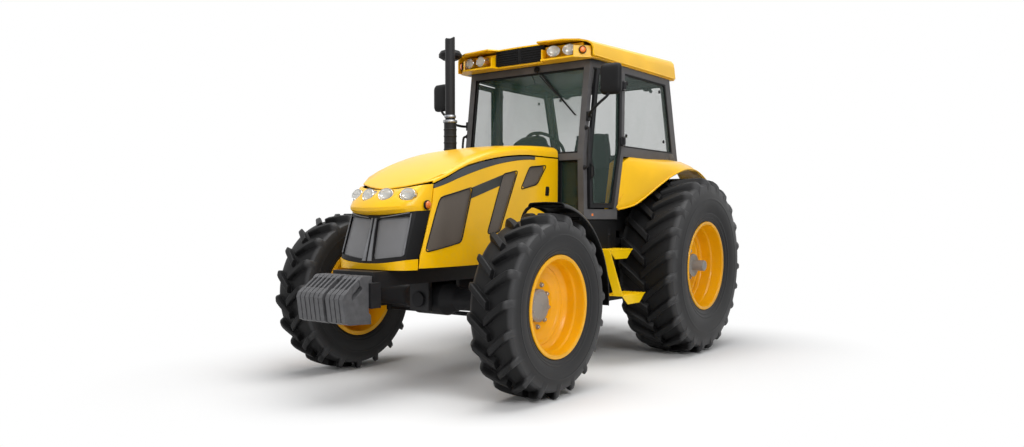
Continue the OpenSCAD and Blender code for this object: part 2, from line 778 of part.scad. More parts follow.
// Grey stripe between the lid and the side panel
module hood_stripes() {
    cols = 24;
    function grid(d) = [for (i = [0:cols])
        [for (j = [0, 1])
            let (x = mix(stripe_back + 4, skin_x(nose_half_w, 1530) - nose_t - seam, along_hood(i / cols)),
                 z = j > 0 ? stripe_top(x) - seam : stripe_low(x))
            [x, skin_y(x, z) - d, z]]];
    color(grey) both_sides() sheet(grid(1), grid(panel_t));
}

// Panel at the hood's rear end, on the gearbox, with the ears and pins of the lid's hinges
module hood_bulkhead() {
    w = hood_half_w;
    top = hood_rear_z - 62;
    color(dark) {
        front_plate(hood_rear - 14, hood_rear) polygon(concat(
            [[-w, gearbox_top_z], [w, gearbox_top_z]],
            corner_arc([w, gearbox_top_z], [w, top], [-w, top], 50, 4),
            corner_arc([w, top], [-w, top], [-w, gearbox_top_z], 50, 4)));
        both_sides() translate([lid_hinge.x, lid_hinge_y, lid_hinge.y]) {
            for (y = [-33, 21]) translate([0, y, 0]) {
                bar_y(12, 0, 12);
                block([hood_rear - 10 - lid_hinge.x, 0, -50], [10, 12, 0]);
            }
            bar_y(lid_pin_r, -30, 30);
        }
    }
}

grille_low_z = 990;
grille_high_z = 1345;
lip_z = 1400;

// Nose ring in plan at a height: reach of its middle, rise toward the corners
function nose_point(reach, z, rise, n, s, t) =
    let (high = z + rise * s * s, back = skin_x(nose_half_w, high))
    [back + (reach - back) * pow(1 - pow(abs(s), n), 1 / n) - t, s * nose_half_w, high];

// Cowl: from the lid's edge down over the lamps to the lip, and back in to the grille
module nose_cowl() {
    cols = nose_cols;
    // Reach of the middle, height, rise toward the corners, squareness
    rings = [[lid_front + 6, lid_front_z - panel_t - 3, 40, 2.0], [lid_front + 70, 1500, 40, 2.0],
             [lid_front + 150, 1430, 24, 2.1], [nose_x - 28, lip_z, 18, 2.2],
             [nose_x - 34, 1376, 24, 2.2], [nose_x - 92, grille_high_z, 36, 2.4]];
    function grid(t) = [for (r = [len(rings) - 1:-1:0])
        [for (i = [0:cols])
            let (s = 1 - 2 * i / cols, k = rings[len(rings) - 1 - r])
            nose_point(k[0], k[1], k[2], k[3], s, t)]];
    color(yellow) {
        difference() {
            sheet(grid(0), grid(nose_t));
            both_sides() for (p = head_lamps) at_head_lamp(p)
                front_plate(-120, 120) polygon(oval(head_lamp_w + 0.5, head_lamp_h + 0.5));
        }
        nose_bumper();
    }
}

module nose_bumper() {
    cols = nose_cols;
    rings = [[nose_x - 8, hood_low_z - 12, 0, 3], [nose_x + 4, grille_low_z, 36, 3]];
    function grid(t) = [for (k = [rings[0], rings[1]])
        [for (i = [0:cols]) nose_point(k[0], k[1], k[2], k[3], 1 - 2 * i / cols, t)]];
    g = grid(0);
    h = grid(nose_t);
    sheet([g[1], g[0]], [h[1], h[0]]);
}

// Grille frame with a middle bar and two open halves
module grille_frame() {
    color(dark) difference() {
        sheet(grille_grid(0, 0), grille_grid(nose_t, 0));
        for (m = [0, 1]) mirror([0, m, 0]) front_plate(curve_x, nose_x + 20)
            polygon(rounded([[50, grille_low_z + 30], [nose_half_w - 40, grille_low_z + 60],
                             [nose_half_w - 50, grille_high_z - 8], [30, grille_high_z - 30]], 24));
    }
}

// Leaning face of the grille at a depth, with some columns left off at each side
function grille_grid(t, skip) =
    let (rows = 4)
    [for (j = [rows:-1:0])
        [for (i = [skip:nose_cols - skip])
            let (u = j / rows, s = 1 - 2 * i / nose_cols)
            nose_point(mix(nose_x - 10, nose_x - 104, u),
                       mix(grille_low_z + seam / 4, grille_high_z - seam / 4, u), 36, mix(3, 2.5, u), s, t)]];

// Perforated panels behind the windows of the sides and the grille
module mesh_panels() {
    color(mesh_grey) {
        both_sides() for (w = mesh_windows) side_skin(panel_t + 1.2, 4, inset(w, -14), 10, 5);
        sheet(grille_grid(nose_t + 0.3, 1), grille_grid(nose_t + 4.3, 1));
    }
}

head_lamps = [[90, lid_front + 60], [262, lid_front + 8]];
head_lamp_z = 1492;
// Half widths and half heights of the headlamps and the work lamps
head_lamp_w = 66;
head_lamp_h = 50;
work_lamp_w = 62;
work_lamp_h = 48;
work_lamps = [[400, 1552], [548, 1530]];

module at_head_lamp(p) {
    translate([p.y, p.x, head_lamp_z]) rotate([0, -14, 8]) children();
}

// Headlamps in the cowl and work lamps against the pods' back walls
module lamps() {
    color("white") both_sides() {
        for (p = head_lamps) at_head_lamp(p) front_plate(-60, 20) polygon(oval(head_lamp_w, head_lamp_h));
        difference() {
            for (p = work_lamps) translate([p.y, p.x, cab_top_z + 72]) rotate([0, 0, 15])
                front_plate(-90, 12) polygon(oval(work_lamp_w, work_lamp_h));
            block([roof_front - 200, 0, cab_top_z], [roof_front, 1000, cab_top_z + 300]);
        }
    }
}

side_lamp = [wheelbase + 500, 1419];

module turn_lamps() {
    color("orange") both_sides() {
        translate([side_lamp.x, nose_half_w, side_lamp.y]) bar_y(31, 0.4, 26);
        translate([pod_corner_mid.x, pod_corner_mid.y, cab_top_z + 62]) rotate([0, 0, pod_corner_turn])
            bar_x(30, 0.4, 24);
        translate([-330, 660, deck_z]) cylinder(r = 42, h = 70);
    }
}

// Cab

roof_half_w = cab_half_w + 27;
roof_rear = -150;
roof_front = 1490;
visor_front = 1628;
b_low = [1008, sill_z];
b_mid = [888, 1950];
b_top = [888, cab_top_z];
a_low = [cab_front - 20, sill_z];
a_mid = [cab_front, 1890];
a_top = [cab_front - 108, cab_top_z];
c_low = [-215, deck_z];
c_top = [8, cab_top_z];
c_post_back = 72;
side_pane_y = cab_half_w - 22;
rail_h = 60;
waist_z = 1972;

// Straight post in side view, a given width across
module post(p, q, y0, y1) {
    w = post_t / 2;
    side_plate(y0, y1) polygon([[p.x - w, p.y], [p.x + w, p.y], [q.x + w, q.y], [q.x - w, q.y]]);
}

// Welded frame: posts, sills, roof rails and cross rails
module cab_frame() {
    af = cab_front_half_w;
    color(grey) {
        both_sides() {
            post(a_low, a_mid, af - 60, af);
            post(a_mid, a_top, af - 60, af);
            post(b_low, b_mid, cab_half_w - 60, cab_half_w);
            post(b_mid, b_top, cab_half_w - 60, cab_half_w);
            side_plate(cab_half_w - 60, cab_half_w) polygon([
                [c_low.x - c_post_back, c_low.y], [c_low.x + post_t / 2, c_low.y],
                [c_top.x + post_t / 2, c_top.y], [c_top.x - c_post_back, c_top.y]]);
            translate([0, 0, sill_z - 90]) linear_extrude(90) polygon([
                [b_low.x - post_t / 2, cab_half_w - 60], [a_low.x + post_t / 2, af - 60],
                [a_low.x + post_t / 2, af], [b_low.x - post_t / 2, cab_half_w]]);
            side_plate(cab_half_w - 60, cab_half_w) polygon([
                [c_low.x, deck_z], [b_mid.x, deck_z], [b_mid.x, waist_z], [c_low.x, waist_z]]);
            translate([0, 0, cab_top_z - rail_h]) linear_extrude(rail_h) polygon([
                [c_top.x, cab_half_w - 60], [b_top.x, cab_half_w - 60], [a_top.x, af - 60],
                [a_top.x, af], [b_top.x, cab_half_w], [c_top.x, cab_half_w]]);
        }
        both_sides() door_pins();
        block([a_top.x - 20, -af + 30, cab_top_z - rail_h], [a_top.x + 34, af - 30, cab_top_z]);
        block([c_top.x - 30, -cab_half_w + 30, cab_top_z - rail_h],
              [c_top.x + 30, cab_half_w - 30, cab_top_z]);
        block([a_mid.x - 29, -af + 30, a_mid.y - 60], [a_mid.x + 29, af - 30, a_mid.y]);
        block([c_low.x - 29, -cab_half_w + 30, deck_z], [c_low.x + 29, cab_half_w - 30, deck_z + 90]);
    }
}

// Ears and pins of the door hinges on the middle post
module door_pins() {
    ear = 12;
    for (z = hinge_z) {
        translate([hinge.x, hinge.y, z - ear]) cylinder(r = hinge_pin_r, h = hinge_h + 2 * ear);
        for (low = [z - ear - 1, z + hinge_h + 1]) translate([hinge.x, hinge.y, low]) {
            cylinder(r = 14, h = ear);
            block([-22, cab_half_w - hinge.y - 5, 0], [0, 0, ear]);
        }
    }
}

wall_y = 590;
floor_z = sill_z - 70;

// Floor, inner wheel walls, rear wall and firewall
module cab_floor() {
    color(dark) {
        block([-210, -wall_y, floor_z], [870, wall_y, floor_z + 20]);
        block([870, -cab_front_half_w + 60, floor_z], [cab_front, cab_front_half_w - 60, floor_z + 20]);
        both_sides() block([-210, wall_y - 14, floor_z], [870, wall_y, deck_z - 10]);
        block([-224, -wall_y, floor_z], [-210, wall_y, deck_z]);
        block([cab_front - 14, -hood_half_w + 5, floor_z], [cab_front, hood_half_w - 5, a_mid.y - 60]);
    }
}

// Windscreen, lower front panes, quarter windows and rear window
module cab_glass() {
    af = cab_front_half_w - 60;
    color(clear) {
        side_plate(-af, af) polygon([[a_mid.x - glass_t, a_mid.y], [a_mid.x, a_mid.y],
            [x_at(a_mid, a_top, cab_top_z - rail_h), cab_top_z - rail_h],
            [x_at(a_mid, a_top, cab_top_z - rail_h) - glass_t, cab_top_z - rail_h]]);
        both_sides() {
            block([cab_front - 12, hood_half_w - 5, floor_z + 20],
                  [cab_front - 12 + glass_t, af, a_mid.y - 60]);
            side_plate(side_pane_y, side_pane_y + glass_t) polygon([
                [x_at(c_low, c_top, waist_z) + post_t / 2, waist_z], [b_mid.x - post_t / 2, waist_z],
                [b_top.x - post_t / 2, cab_top_z - rail_h],
                [x_at(c_low, c_top, cab_top_z - rail_h) + post_t / 2, cab_top_z - rail_h]]);
        }
        side_plate(-cab_half_w + 60, cab_half_w - 60) polygon([
            [x_at(c_low, c_top, deck_z + 90) - glass_t, deck_z + 90],
            [x_at(c_low, c_top, deck_z + 90), deck_z + 90],
            [x_at(c_low, c_top, cab_top_z - rail_h), cab_top_z - rail_h],
            [x_at(c_low, c_top, cab_top_z - rail_h) - glass_t, cab_top_z - rail_h]]);
    }
}

hinge = [b_mid.x + 24, cab_half_w + 26];
door_turn = atan((cab_half_w - cab_front_half_w) / (cab_front - b_mid.x));
door_t = 30;
door_out = -14;
door_rail = 34;
hinge_pin_r = 9;
hinge_r = 16;
hinge_h = 60;
hinge_z = [1990, 2490];

// Distance along the closed door for a place along the tractor
function door_u(x) = (x - hinge.x) / cos(door_turn);

// Outline of the door, anticlockwise from its rear lower corner
function door_outline() =
    let (w = post_t / 2, g = door_gap, low = sill_z + g, high = cab_top_z - rail_h - g)
    [[door_u(x_at(b_low, b_mid, low) + w + g), low],
     [door_u(x_at(a_low, a_mid, low) - w - g), low],
     [door_u(a_mid.x - w - g), a_mid.y],
     [door_u(x_at(a_mid, a_top, high) - w - g), high],
     [door_u(b_top.x + w + g), high],
     [door_u(b_mid.x + w + g), b_mid.y]];

module at_door() {
    translate([hinge.x, hinge.y, 0]) rotate([0, 0, -door_turn]) children();
}

// Left door frame with two hinge knuckles about the pins on the middle post
module door() {
    at_door() difference() {
        union() {
            side_plate(door_out - door_t, door_out) difference() {
                polygon(door_outline());
                polygon(rounded(inset(door_outline(), door_rail), 22));
            }
            for (z = hinge_z) translate([0, 0, z]) {
                cylinder(r = hinge_r, h = hinge_h);
                translate([0, door_out - 6, 0]) cube([44, 18, hinge_h]);
            }
        }
        for (z = hinge_z) translate([0, 0, z - 1]) cylinder(r = hinge_pin_r + fit, h = hinge_h + 2);
    }
}

module door_glass() {
    at_door() side_plate(door_out - 18, door_out - 18 + glass_t)
        polygon(rounded(inset(door_outline(), door_rail), 22));
}

module left_door() { color(dark) door(); }
module left_door_glass() { color(clear) door_glass(); }
module right_door() { color(dark) mirror([0, 1, 0]) door(); }
module right_door_glass() { color(clear) mirror([0, 1, 0]) door_glass(); }

function roof_top(x) =
    cab_top_z + mix(roof_h, roof_h - 60, max(0, x - roof_rear) / (roof_front - roof_rear));

// Roof shell: crowned, with side walls and a visor over each lamp pod
module cab_roof() {
    rows = 8;
    crown = 24;
    // Share of the half width, share of the wall's height
    profile = [[1, 0], [1, 0.5], [0.985, 0.78], [0.95, 0.93], [0.88, 1],
               [0.72, 1], [0.5, 1], [0.36, 1], [0.3, 1], [0, 1]];
    ring = concat(profile, [for (i = [len(profile) - 2:-1:0]) [-profile[i][0], profile[i][1]]]);
    function front(s) =
        abs(s) < 0.35 ? roof_front + 20 : abs(s) < 0.8 ? visor_front
        : mix(visor_front, roof_front - 20, (abs(s) - 0.8) / 0.2);
    function grid(t) = concat(
        [[for (p = ring) [roof_rear + t, p[0] * (roof_half_w - t), cab_top_z + 15]]],
        [for (i = [0:rows])
            [for (p = ring)
                let (x = mix(roof_rear + 24, front(p[0]), i / rows),
                     top = roof_top(x) + crown * (1 - p[0] * p[0]) - t)
                [i == 0 ? x + t : x, p[0] * (roof_half_w - t), mix(cab_top_z + 15, top, p[1])]]]);
    color(yellow) sheet(grid(0), grid(12));
}

// Chamfered outer corner of a pod in plan
pod_corner = [[visor_front - 66, roof_half_w - 146], [roof_front - 44, roof_half_w - 36]];
pod_corner_mid = (pod_corner[0] + pod_corner[1]) / 2;
pod_corner_turn = atan2(pod_corner[0].x - pod_corner[1].x, pod_corner[1].y - pod_corner[0].y);

// Ceiling with the pods' floors, back walls, inner walls and chamfered outer corners
module roof_base() {
    w = roof_half_w - 12;
    inward = 12 * [cos(pod_corner_turn), sin(pod_corner_turn)];
    color(yellow) {
        both_sides() {
            translate([0, 0, cab_top_z + 14]) linear_extrude(86) polygon([
                pod_corner[0], pod_corner[1], pod_corner[1] - inward, pod_corner[0] - inward]);
            block([roof_front - 20, 274, cab_top_z + 14], [visor_front - 66, 286, cab_top_z + 100]);
        }
        translate([0, 0, cab_top_z]) linear_extrude(15) polygon(concat(
            [[roof_rear, -w], [roof_front - 60, -w], [visor_front - 60, -w + 130], [visor_front - 60, -270],
             [roof_front, -250], [roof_front, 250], [visor_front - 60, 270], [visor_front - 60, w - 130],
             [roof_front - 60, w], [roof_rear, w]]));
        both_sides() block([roof_front - 20, 270, cab_top_z + 14], [roof_front, w - 84, cab_top_z + 130]);
    }
}

module roof_panel() {
    color(dark) block([roof_front - 10, -268, cab_top_z + 15], [roof_front + 14, 268, cab_top_z + 150]);
}

// Inside

module seat_base() {
    color(dark) {
        block([280, -160, floor_z + 20], [620, 160, floor_z + 300]);
        block([220, -230, floor_z + 300], [700, 230, floor_z + 330]);
    }
}

module seat_cushions() {
    z = floor_z + 330;
    color(rubber) {
        block([240, -250, z], [720, 250, z + 110]);
        block([150, -240, z], [240, 240, z + 560]);
    }
}

dash_back = cab_front - 190;
column_r = 36;
column_tilt = 42;

module at_column() {
    translate([dash_back, 0, 1790]) rotate([0, -column_tilt, 0]) children();
}

// Dashboard behind the front cross rail: rounded hump over a full-width console, socket of the column
module dashboard() {
    front = a_mid.x - post_t / 2 - 1;
    top = a_mid.y + 105;
    console = cab_front_half_w - 68;
    color(dark) difference() {
        union() {
            front_plate(dash_back, front) polygon(concat(
                [[-220, floor_z + 20], [220, floor_z + 20]],
                corner_arc([220, floor_z + 20], [220, top], [-220, top], 95, 5),
                corner_arc([220, top], [-220, top], [-220, floor_z + 20], 95, 5)));
            block([dash_back + 70, -console, floor_z + 20], [front, console, a_mid.y - 110]);
        }
        at_column() translate([0, 0, -60]) cylinder(r = column_r + 0.3, h = 160);
    }
}

module steering_column() {
    color(dark) {
        at_column() translate([0, 0, -50]) cylinder(r = column_r, h = 312);
        at_column() translate([0, 0, 262]) {
            rotate_extrude() translate([195, 0]) circle(r = 15);
            for (a = [0, 120, 240]) rotate([0, 0, a]) translate([0, -14, -8]) cube([195, 28, 12]);
            cylinder(r = 48, h = 40, center = true);
        }
    }
}

module mirror_arm(p, q, r) {
    d = q - p;
    translate(p) rotate([0, acos(d.z / norm(d)), atan2(d.y, d.x)]) cylinder(r = r, h = norm(d));
}

// Mirrors on bent arms from the front posts
module mirrors() {
    foot = [x_at(a_mid, a_top, 2200), cab_front_half_w, 2200];
    out = [cab_front + 70, cab_front_half_w + 55, 2210];
    head = [cab_front + 60, 940, 2360];
    color(dark) both_sides() {
        translate(foot) block([-24, 0, -40], [24, 20, 40]);
        mirror_arm(foot + [0, 13, 0], out, 12);
        translate(out) sphere(r = 15);
        mirror_arm(out, head, 12);
        translate([head.x, head.y, 2490]) rotate([0, 0, 8]) front_plate(-28, 22)
            polygon(rounded([[-92, -130], [92, -130], [92, 130], [-92, 130]], 46));
    }
}

// Rear fenders

fender_t = 8;
// Rear face of the middle post, where the fender starts
function post_back(z) = x_at(b_low, b_mid, z) - post_t / 2 - 2;

// Inner edge (x, z) of each row, and its lip (x, y, z)
fender_rows = [
    [[post_back(sill_z), sill_z], [post_back(sill_z) - 8, 735, sill_z]],
    [[post_back(1580), 1580], [800, 800, 1440]],
    [[post_back(1720), 1720], [655, 850, 1520]],
    [[post_back(1830), 1830], [500, 900, 1620]],
    [[760, deck_z], [330, 940, 1712]],
    [[450, deck_z], [180, 965, 1768]],
    [[200, deck_z], [20, 975, 1800]],
    [[-100, deck_z], [-180, 980, 1790]],
    [[-330, deck_z], [-400, 980, 1716]],
    [[-520, deck_z - 40], [-600, 980, 1590]],
    [[-700, 1700], [-760, 980, 1410]],
    [[-820, 1480], [-860, 980, 1240]]];

module rear_fender() {
    columns = [0, 0.16, 0.34, 0.6, 0.86, 1];
    bulge = 40;
    function grid(t) = [for (r = [len(fender_rows) - 1:-1:0])
        let (k = fender_rows[r], a = [k[0].x, wall_y, k[0].y], b = k[1],
             knee = [k[0].x, min(cab_half_w, b.y - 2), k[0].y])
        [for (c = [len(columns) - 1:-1:0])
            let (u = columns[c], p = u < 0.34 ? mix(a, knee, u / 0.34) : mix(knee, b, (u - 0.34) / 0.66),
                 away = unit([p.x, 0, p.z - rear_tyre_r]))
            p + away * (bulge * sin(180 * max(0, (u - 0.34) / 0.66)) - t)]];
    sheet(grid(0), grid(fender_t));
}

module rear_fenders() { color(yellow) both_sides() rear_fender(); }

// Under the cab

tank_in = 330;
tank_out = 690;

module side_tanks() {
    color(dark) both_sides() side_plate(tank_in, tank_out) polygon(rounded(
        [[930, 700], [1470, 700], [1470, 1300], [930, 1300]], 70));
}

step_x = [915, 1345];
upper_step = [855, 1042];
lower_step = [985, 650];

module step(p, depth) {
    block([step_x[0], p.x - depth, p.y - 8], [step_x[1], p.x, p.y]);
    side_plate(p.x - 8, p.x) polygon([[step_x[0], p.y], [step_x[0] + 110, p.y - 84],
        [step_x[1] - 110, p.y - 84], [step_x[1], p.y]]);
}

// Steps on a slanted stringer, hung from the tanks
module steps() {
    color(yellow) both_sides() {
        step(upper_step, upper_step.x - tank_out);
        step(lower_step, 200);
        front_plate(step_x[1] - 10, step_x[1]) polygon([
            [upper_step.x - 85, upper_step.y], [upper_step.x, upper_step.y],
            [lower_step.x, lower_step.y], [lower_step.x - 85, lower_step.y]]);
    }
}

// Stacks on the right side

exhaust_at = [wheelbase - 818, -hood_half_w - 107];
exhaust_r = 45;
muffler_r = 57;
intake_at = [wheelbase - 980, -hood_half_w - 240];

module exhaust() {
    color(grey) difference() {
        translate([exhaust_at.x, exhaust_at.y, 0]) {
            translate([0, 0, 1480]) cylinder(r = muffler_r, h = 710);
            translate([0, 0, 2180]) cylinder(r = exhaust_r, h = 780);
            translate([0, 0, 1530]) bar_y(40, 0, -hood_half_w - exhaust_at.y);
        }
        translate([exhaust_at.x, exhaust_at.y, 2400]) cylinder(r = exhaust_r - 4, h = 600);
        translate([exhaust_at.x, exhaust_at.y, 2960]) rotate([0, 30, 0])
            translate([-200, -100, 0]) cube([400, 200, 200]);
    }
}

module intake() {
    color(dark) translate([intake_at.x, intake_at.y, 0]) {
        translate([0, 0, 1560]) cylinder(r = 36, h = 1250);
        translate([0, 0, 1600]) bar_y(36, 0, -hood_half_w - intake_at.y);
        translate([0, 0, 2796]) rotate_extrude() polygon([
            [0, 0], [70, 0], [108, 24], [108, 50], [90, 78], [50, 92], [0, 96]]);
    }
}

place() engine();
place() transmission();
place() front_support();
place() front_weights();
place() front_axle();
place() left_knuckle();
place() right_knuckle();
place() tie_rod();
place() front_mudguard();
place() front_left_tyre();
place() front_left_rim();
place() front_left_hub();
place() front_right_tyre();
place() front_right_rim();
place() front_right_hub();
place() rear_left_tyre();
place() rear_left_rim();
place() rear_left_hub();
place() rear_right_tyre();
place() rear_right_rim();
place() rear_right_hub();
place() hood_lid();
place() hood_sides();
place() hood_stripes();
place() hood_bulkhead();
place() nose_cowl();
place() grille_frame();
place() mesh_panels();
place() lamps();
place() turn_lamps();
place() cab_frame();
place() cab_floor();
place() cab_glass();
place() left_door();
place() left_door_glass();
place() right_door();
place() right_door_glass();
place() cab_roof();
place() roof_base();
place() roof_panel();
place() seat_base();
place() seat_cushions();
place() dashboard();
place() steering_column();
place() mirrors();
place() rear_fenders();
place() side_tanks();
place() steps();
place() exhaust();
place() intake();
place() drawbar();
place() lower_links();
place() lift_arms();
place() lift_rods();
place() top_link();
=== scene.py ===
"""Looks of the farm tractor: finishes, lugged tyres, lamps, cab fittings, seat and studio."""
import json
import math

import bpy
import bmesh
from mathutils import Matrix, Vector
from mathutils.bvhtree import BVHTree


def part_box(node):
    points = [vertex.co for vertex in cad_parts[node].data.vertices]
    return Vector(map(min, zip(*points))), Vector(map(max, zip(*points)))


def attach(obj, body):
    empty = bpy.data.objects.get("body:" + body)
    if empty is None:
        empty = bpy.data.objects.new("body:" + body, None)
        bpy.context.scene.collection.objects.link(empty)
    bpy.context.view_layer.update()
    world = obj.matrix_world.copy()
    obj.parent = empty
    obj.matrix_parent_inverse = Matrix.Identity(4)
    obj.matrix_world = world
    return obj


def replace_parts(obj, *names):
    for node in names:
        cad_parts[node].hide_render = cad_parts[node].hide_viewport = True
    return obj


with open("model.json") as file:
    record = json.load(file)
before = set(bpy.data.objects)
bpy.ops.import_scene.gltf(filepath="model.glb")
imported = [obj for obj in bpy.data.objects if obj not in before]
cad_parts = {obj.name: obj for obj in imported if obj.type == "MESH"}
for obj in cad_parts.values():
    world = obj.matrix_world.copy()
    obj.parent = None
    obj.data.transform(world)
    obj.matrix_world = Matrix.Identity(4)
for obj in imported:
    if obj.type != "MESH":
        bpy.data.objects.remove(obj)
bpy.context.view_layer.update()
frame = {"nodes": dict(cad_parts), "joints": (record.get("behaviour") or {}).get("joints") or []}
NODES = frame["nodes"]
JOINTS = {j["name"]: j for j in frame["joints"]}

# Places that the rest is measured from: metres, +X forward, +Y to the driver's left, +Z up
REAR_AXLE_X = JOINTS["roll_rear_left"]["pos_m"][0]
SIDES = {"left": 1, "right": -1}
WHEELBASE = 2.680
FRONT_WHEEL_RADIUS, FRONT_WHEEL_Y, FRONT_TYRE_WIDTH = 0.680, 1.030, 0.385
REAR_WHEEL_RADIUS, REAR_WHEEL_Y, REAR_TYRE_WIDTH = 0.855, 0.920, 0.590


def at(x, y, z):
    """A point given from the rear axle, the middle and the ground."""
    return Vector((REAR_AXLE_X + x, y, z))


def srgb(red, green, blue):
    """A colour as the eye reads it, 0 to 255, made linear."""
    parts = [c / 255 for c in (red, green, blue)]
    return tuple(c / 12.92 if c < 0.04045 else ((c + 0.055) / 1.055) ** 2.4 for c in parts) + (1.0,)


# Colours
YELLOW = srgb(247, 190, 0)
# painted shade: the rims' yellow is darker and more orange than the hood's, for the shade in the wheel dishes
SHADED_RIM_YELLOW = srgb(240, 172, 0)
STEP_YELLOW = srgb(250, 204, 0)
CAB_GREY = srgb(84, 83, 84)
STRIPE_GREY = srgb(70, 73, 76)
IRON_GREY = srgb(88, 88, 90)
HUB_GREY = srgb(138, 136, 132)
CHASSIS_BLACK = srgb(24, 24, 26)
TRIM_BLACK = srgb(17, 17, 18)
TYRE_BLACK = srgb(19, 19, 20)
MESH_GREY = srgb(104, 95, 86)
GRILLE_GREY = srgb(126, 126, 128)
GLASS_TINT = srgb(62, 86, 77)
AMBER = srgb(240, 120, 12)
RED = srgb(196, 22, 16)
FABRIC = srgb(46, 47, 51)
STEEL = srgb(176, 178, 182)
DUST = srgb(168, 152, 124)


# Shader maths

def plug(tree, socket, value):
    """Links a wire to a socket, or sets the socket to a plain value."""
    if isinstance(value, Wire):
        tree.links.new(value.socket, socket)
    elif value is not None:
        socket.default_value = value


def calc(tree, operation, *values):
    """One Math node on wires and numbers."""
    node = tree.nodes.new("ShaderNodeMath")
    node.operation = operation
    for socket, value in zip(node.inputs, values):
        plug(tree, socket, value)
    return Wire(tree, node.outputs[0])


class Wire:
    """A socket whose arithmetic adds Math nodes."""

    def __init__(self, tree, socket):
        self.tree = tree
        self.socket = socket

    def __add__(self, other):
        return calc(self.tree, "ADD", self, other)

    def __sub__(self, other):
        return calc(self.tree, "SUBTRACT", self, other)

    def __rsub__(self, other):
        return calc(self.tree, "SUBTRACT", other, self)

    def __mul__(self, other):
        return calc(self.tree, "MULTIPLY", self, other)

    def __truediv__(self, other):
        return calc(self.tree, "DIVIDE", self, other)

    def __rtruediv__(self, other):
        return calc(self.tree, "DIVIDE", other, self)

    def __pow__(self, other):
        return calc(self.tree, "POWER", self, other)

    __radd__ = __add__
    __rmul__ = __mul__

    def wave(self):
        """Triangle between 0 and 1, once per unit."""
        return calc(self.tree, "PINGPONG", self * 2, 1.0)

    def root(self):
        return calc(self.tree, "SQRT", self)

    def most(self, other):
        return calc(self.tree, "MAXIMUM", self, other)

    def least(self, other):
        return calc(self.tree, "MINIMUM", self, other)

    def step(self, low, high):
        """Smooth rise from 0 at low to 1 at high."""
        node = self.tree.nodes.new("ShaderNodeMapRange")
        node.interpolation_type = "SMOOTHSTEP"
        for socket, value in zip(node.inputs, (self, low, high, 0.0, 1.0)):
            plug(self.tree, socket, value)
        return Wire(self.tree, node.outputs[0])


class Finish:
    """One material, with its Principled shader and the surface's own coordinates."""

    def __init__(self, name):
        self.material = bpy.data.materials.new(name)
        self.material.use_nodes = True
        self.tree = self.material.node_tree
        self.tree.nodes.clear()
        self.shader = self.tree.nodes.new("ShaderNodeBsdfPrincipled")
        self.output = self.tree.nodes.new("ShaderNodeOutputMaterial")
        self.tree.links.new(self.shader.outputs[0], self.output.inputs[0])
        self.place = self.node("ShaderNodeTexCoord", out="Object")

    def node(self, kind, settings=None, sockets=None, out=0):
        """Adds a node: its settings first, then the values or links of its sockets."""
        node = self.tree.nodes.new(kind)
        for key, value in (settings or {}).items():
            setattr(node, key, value)
        for key, value in (sockets or {}).items():
            plug(self.tree, node.inputs[key], value)
        return Wire(self.tree, node.outputs[out])

    def axes(self, vector=None):
        split = self.tree.nodes.new("ShaderNodeSeparateXYZ")
        plug(self.tree, split.inputs[0], vector or self.place)
        return [Wire(self.tree, socket) for socket in split.outputs]

    def noise(self, scale, detail=3.0, vector=None):
        sockets = {"Vector": vector or self.place, "Scale": scale, "Detail": detail}
        return self.node("ShaderNodeTexNoise", None, sockets)

    def mix(self, a, b, share):
        """Colour a turned towards colour b by a share."""
        node = self.tree.nodes.new("ShaderNodeMix")
        node.data_type = "RGBA"
        for index, value in ((0, share), (6, a), (7, b)):
            plug(self.tree, node.inputs[index], value)
        return Wire(self.tree, node.outputs[2])

    def stretch(self, x, y, z):
        """The surface's coordinates, scaled along each axis."""
        return self.node("ShaderNodeVectorMath", {"operation": "MULTIPLY"}, {0: self.place, 1: (x, y, z)})

    def set(self, **sockets):
        """Sets sockets of the Principled shader, named with _ for a space."""
        for key, value in sockets.items():
            name = " ".join(word if word == "IOR" else word.capitalize() for word in key.split("_"))
            plug(self.tree, self.shader.inputs[name], value)
        return self

    def bump(self, height, strength=0.3, distance=0.002, edge=0.0):
        """Fine relief, over edges rounded by a small radius."""
        sockets = {"Height": height, "Strength": strength, "Distance": distance}
        if edge:
            sockets["Normal"] = self.node("ShaderNodeBevel", {"samples": 4}, {"Radius": edge})
        return self.set(normal=self.node("ShaderNodeBump", None, sockets))


def shade(colour, amount):
    """A darker or lighter version of a colour."""
    return tuple(min(1.0, c * amount) for c in colour[:3]) + (1.0,)


# Finishes

def gloss_paint(name, colour, dust=0.12, edge=0.003, inner_colour=None):
    """Sprayed enamel: faint orange peel, uneven gloss, a little dust low down; the cab's ceiling in a dark
    inner colour.
    """
    f = Finish(name)
    x, y, z = f.axes()
    cloud = f.noise(2.2, 4)
    grain = f.noise(38, 5)
    peel = f.noise(260, 2)
    low = (1 - z.step(0.5, 1.7)) * grain.step(0.42, 0.7) * dust
    tone = f.mix(shade(colour, 0.93), shade(colour, 1.05), cloud.step(0.3, 0.7))
    if inner_colour:
        over_cab = (y * y).root().step(0.70, 0.705)
        tone = f.mix(inner_colour, tone, over_cab.most((x - REAR_AXLE_X).step(1.40, 1.405)))
    f.set(base_color=f.mix(tone, DUST, low), roughness=0.26 + cloud * 0.1 + low * 0.8,
          coat_weight=0.16 - low, coat_roughness=0.08, specular_IOR_level=0.32)
    return f.bump(peel * 0.5 + grain * 0.3, 0.05, 0.001, edge)


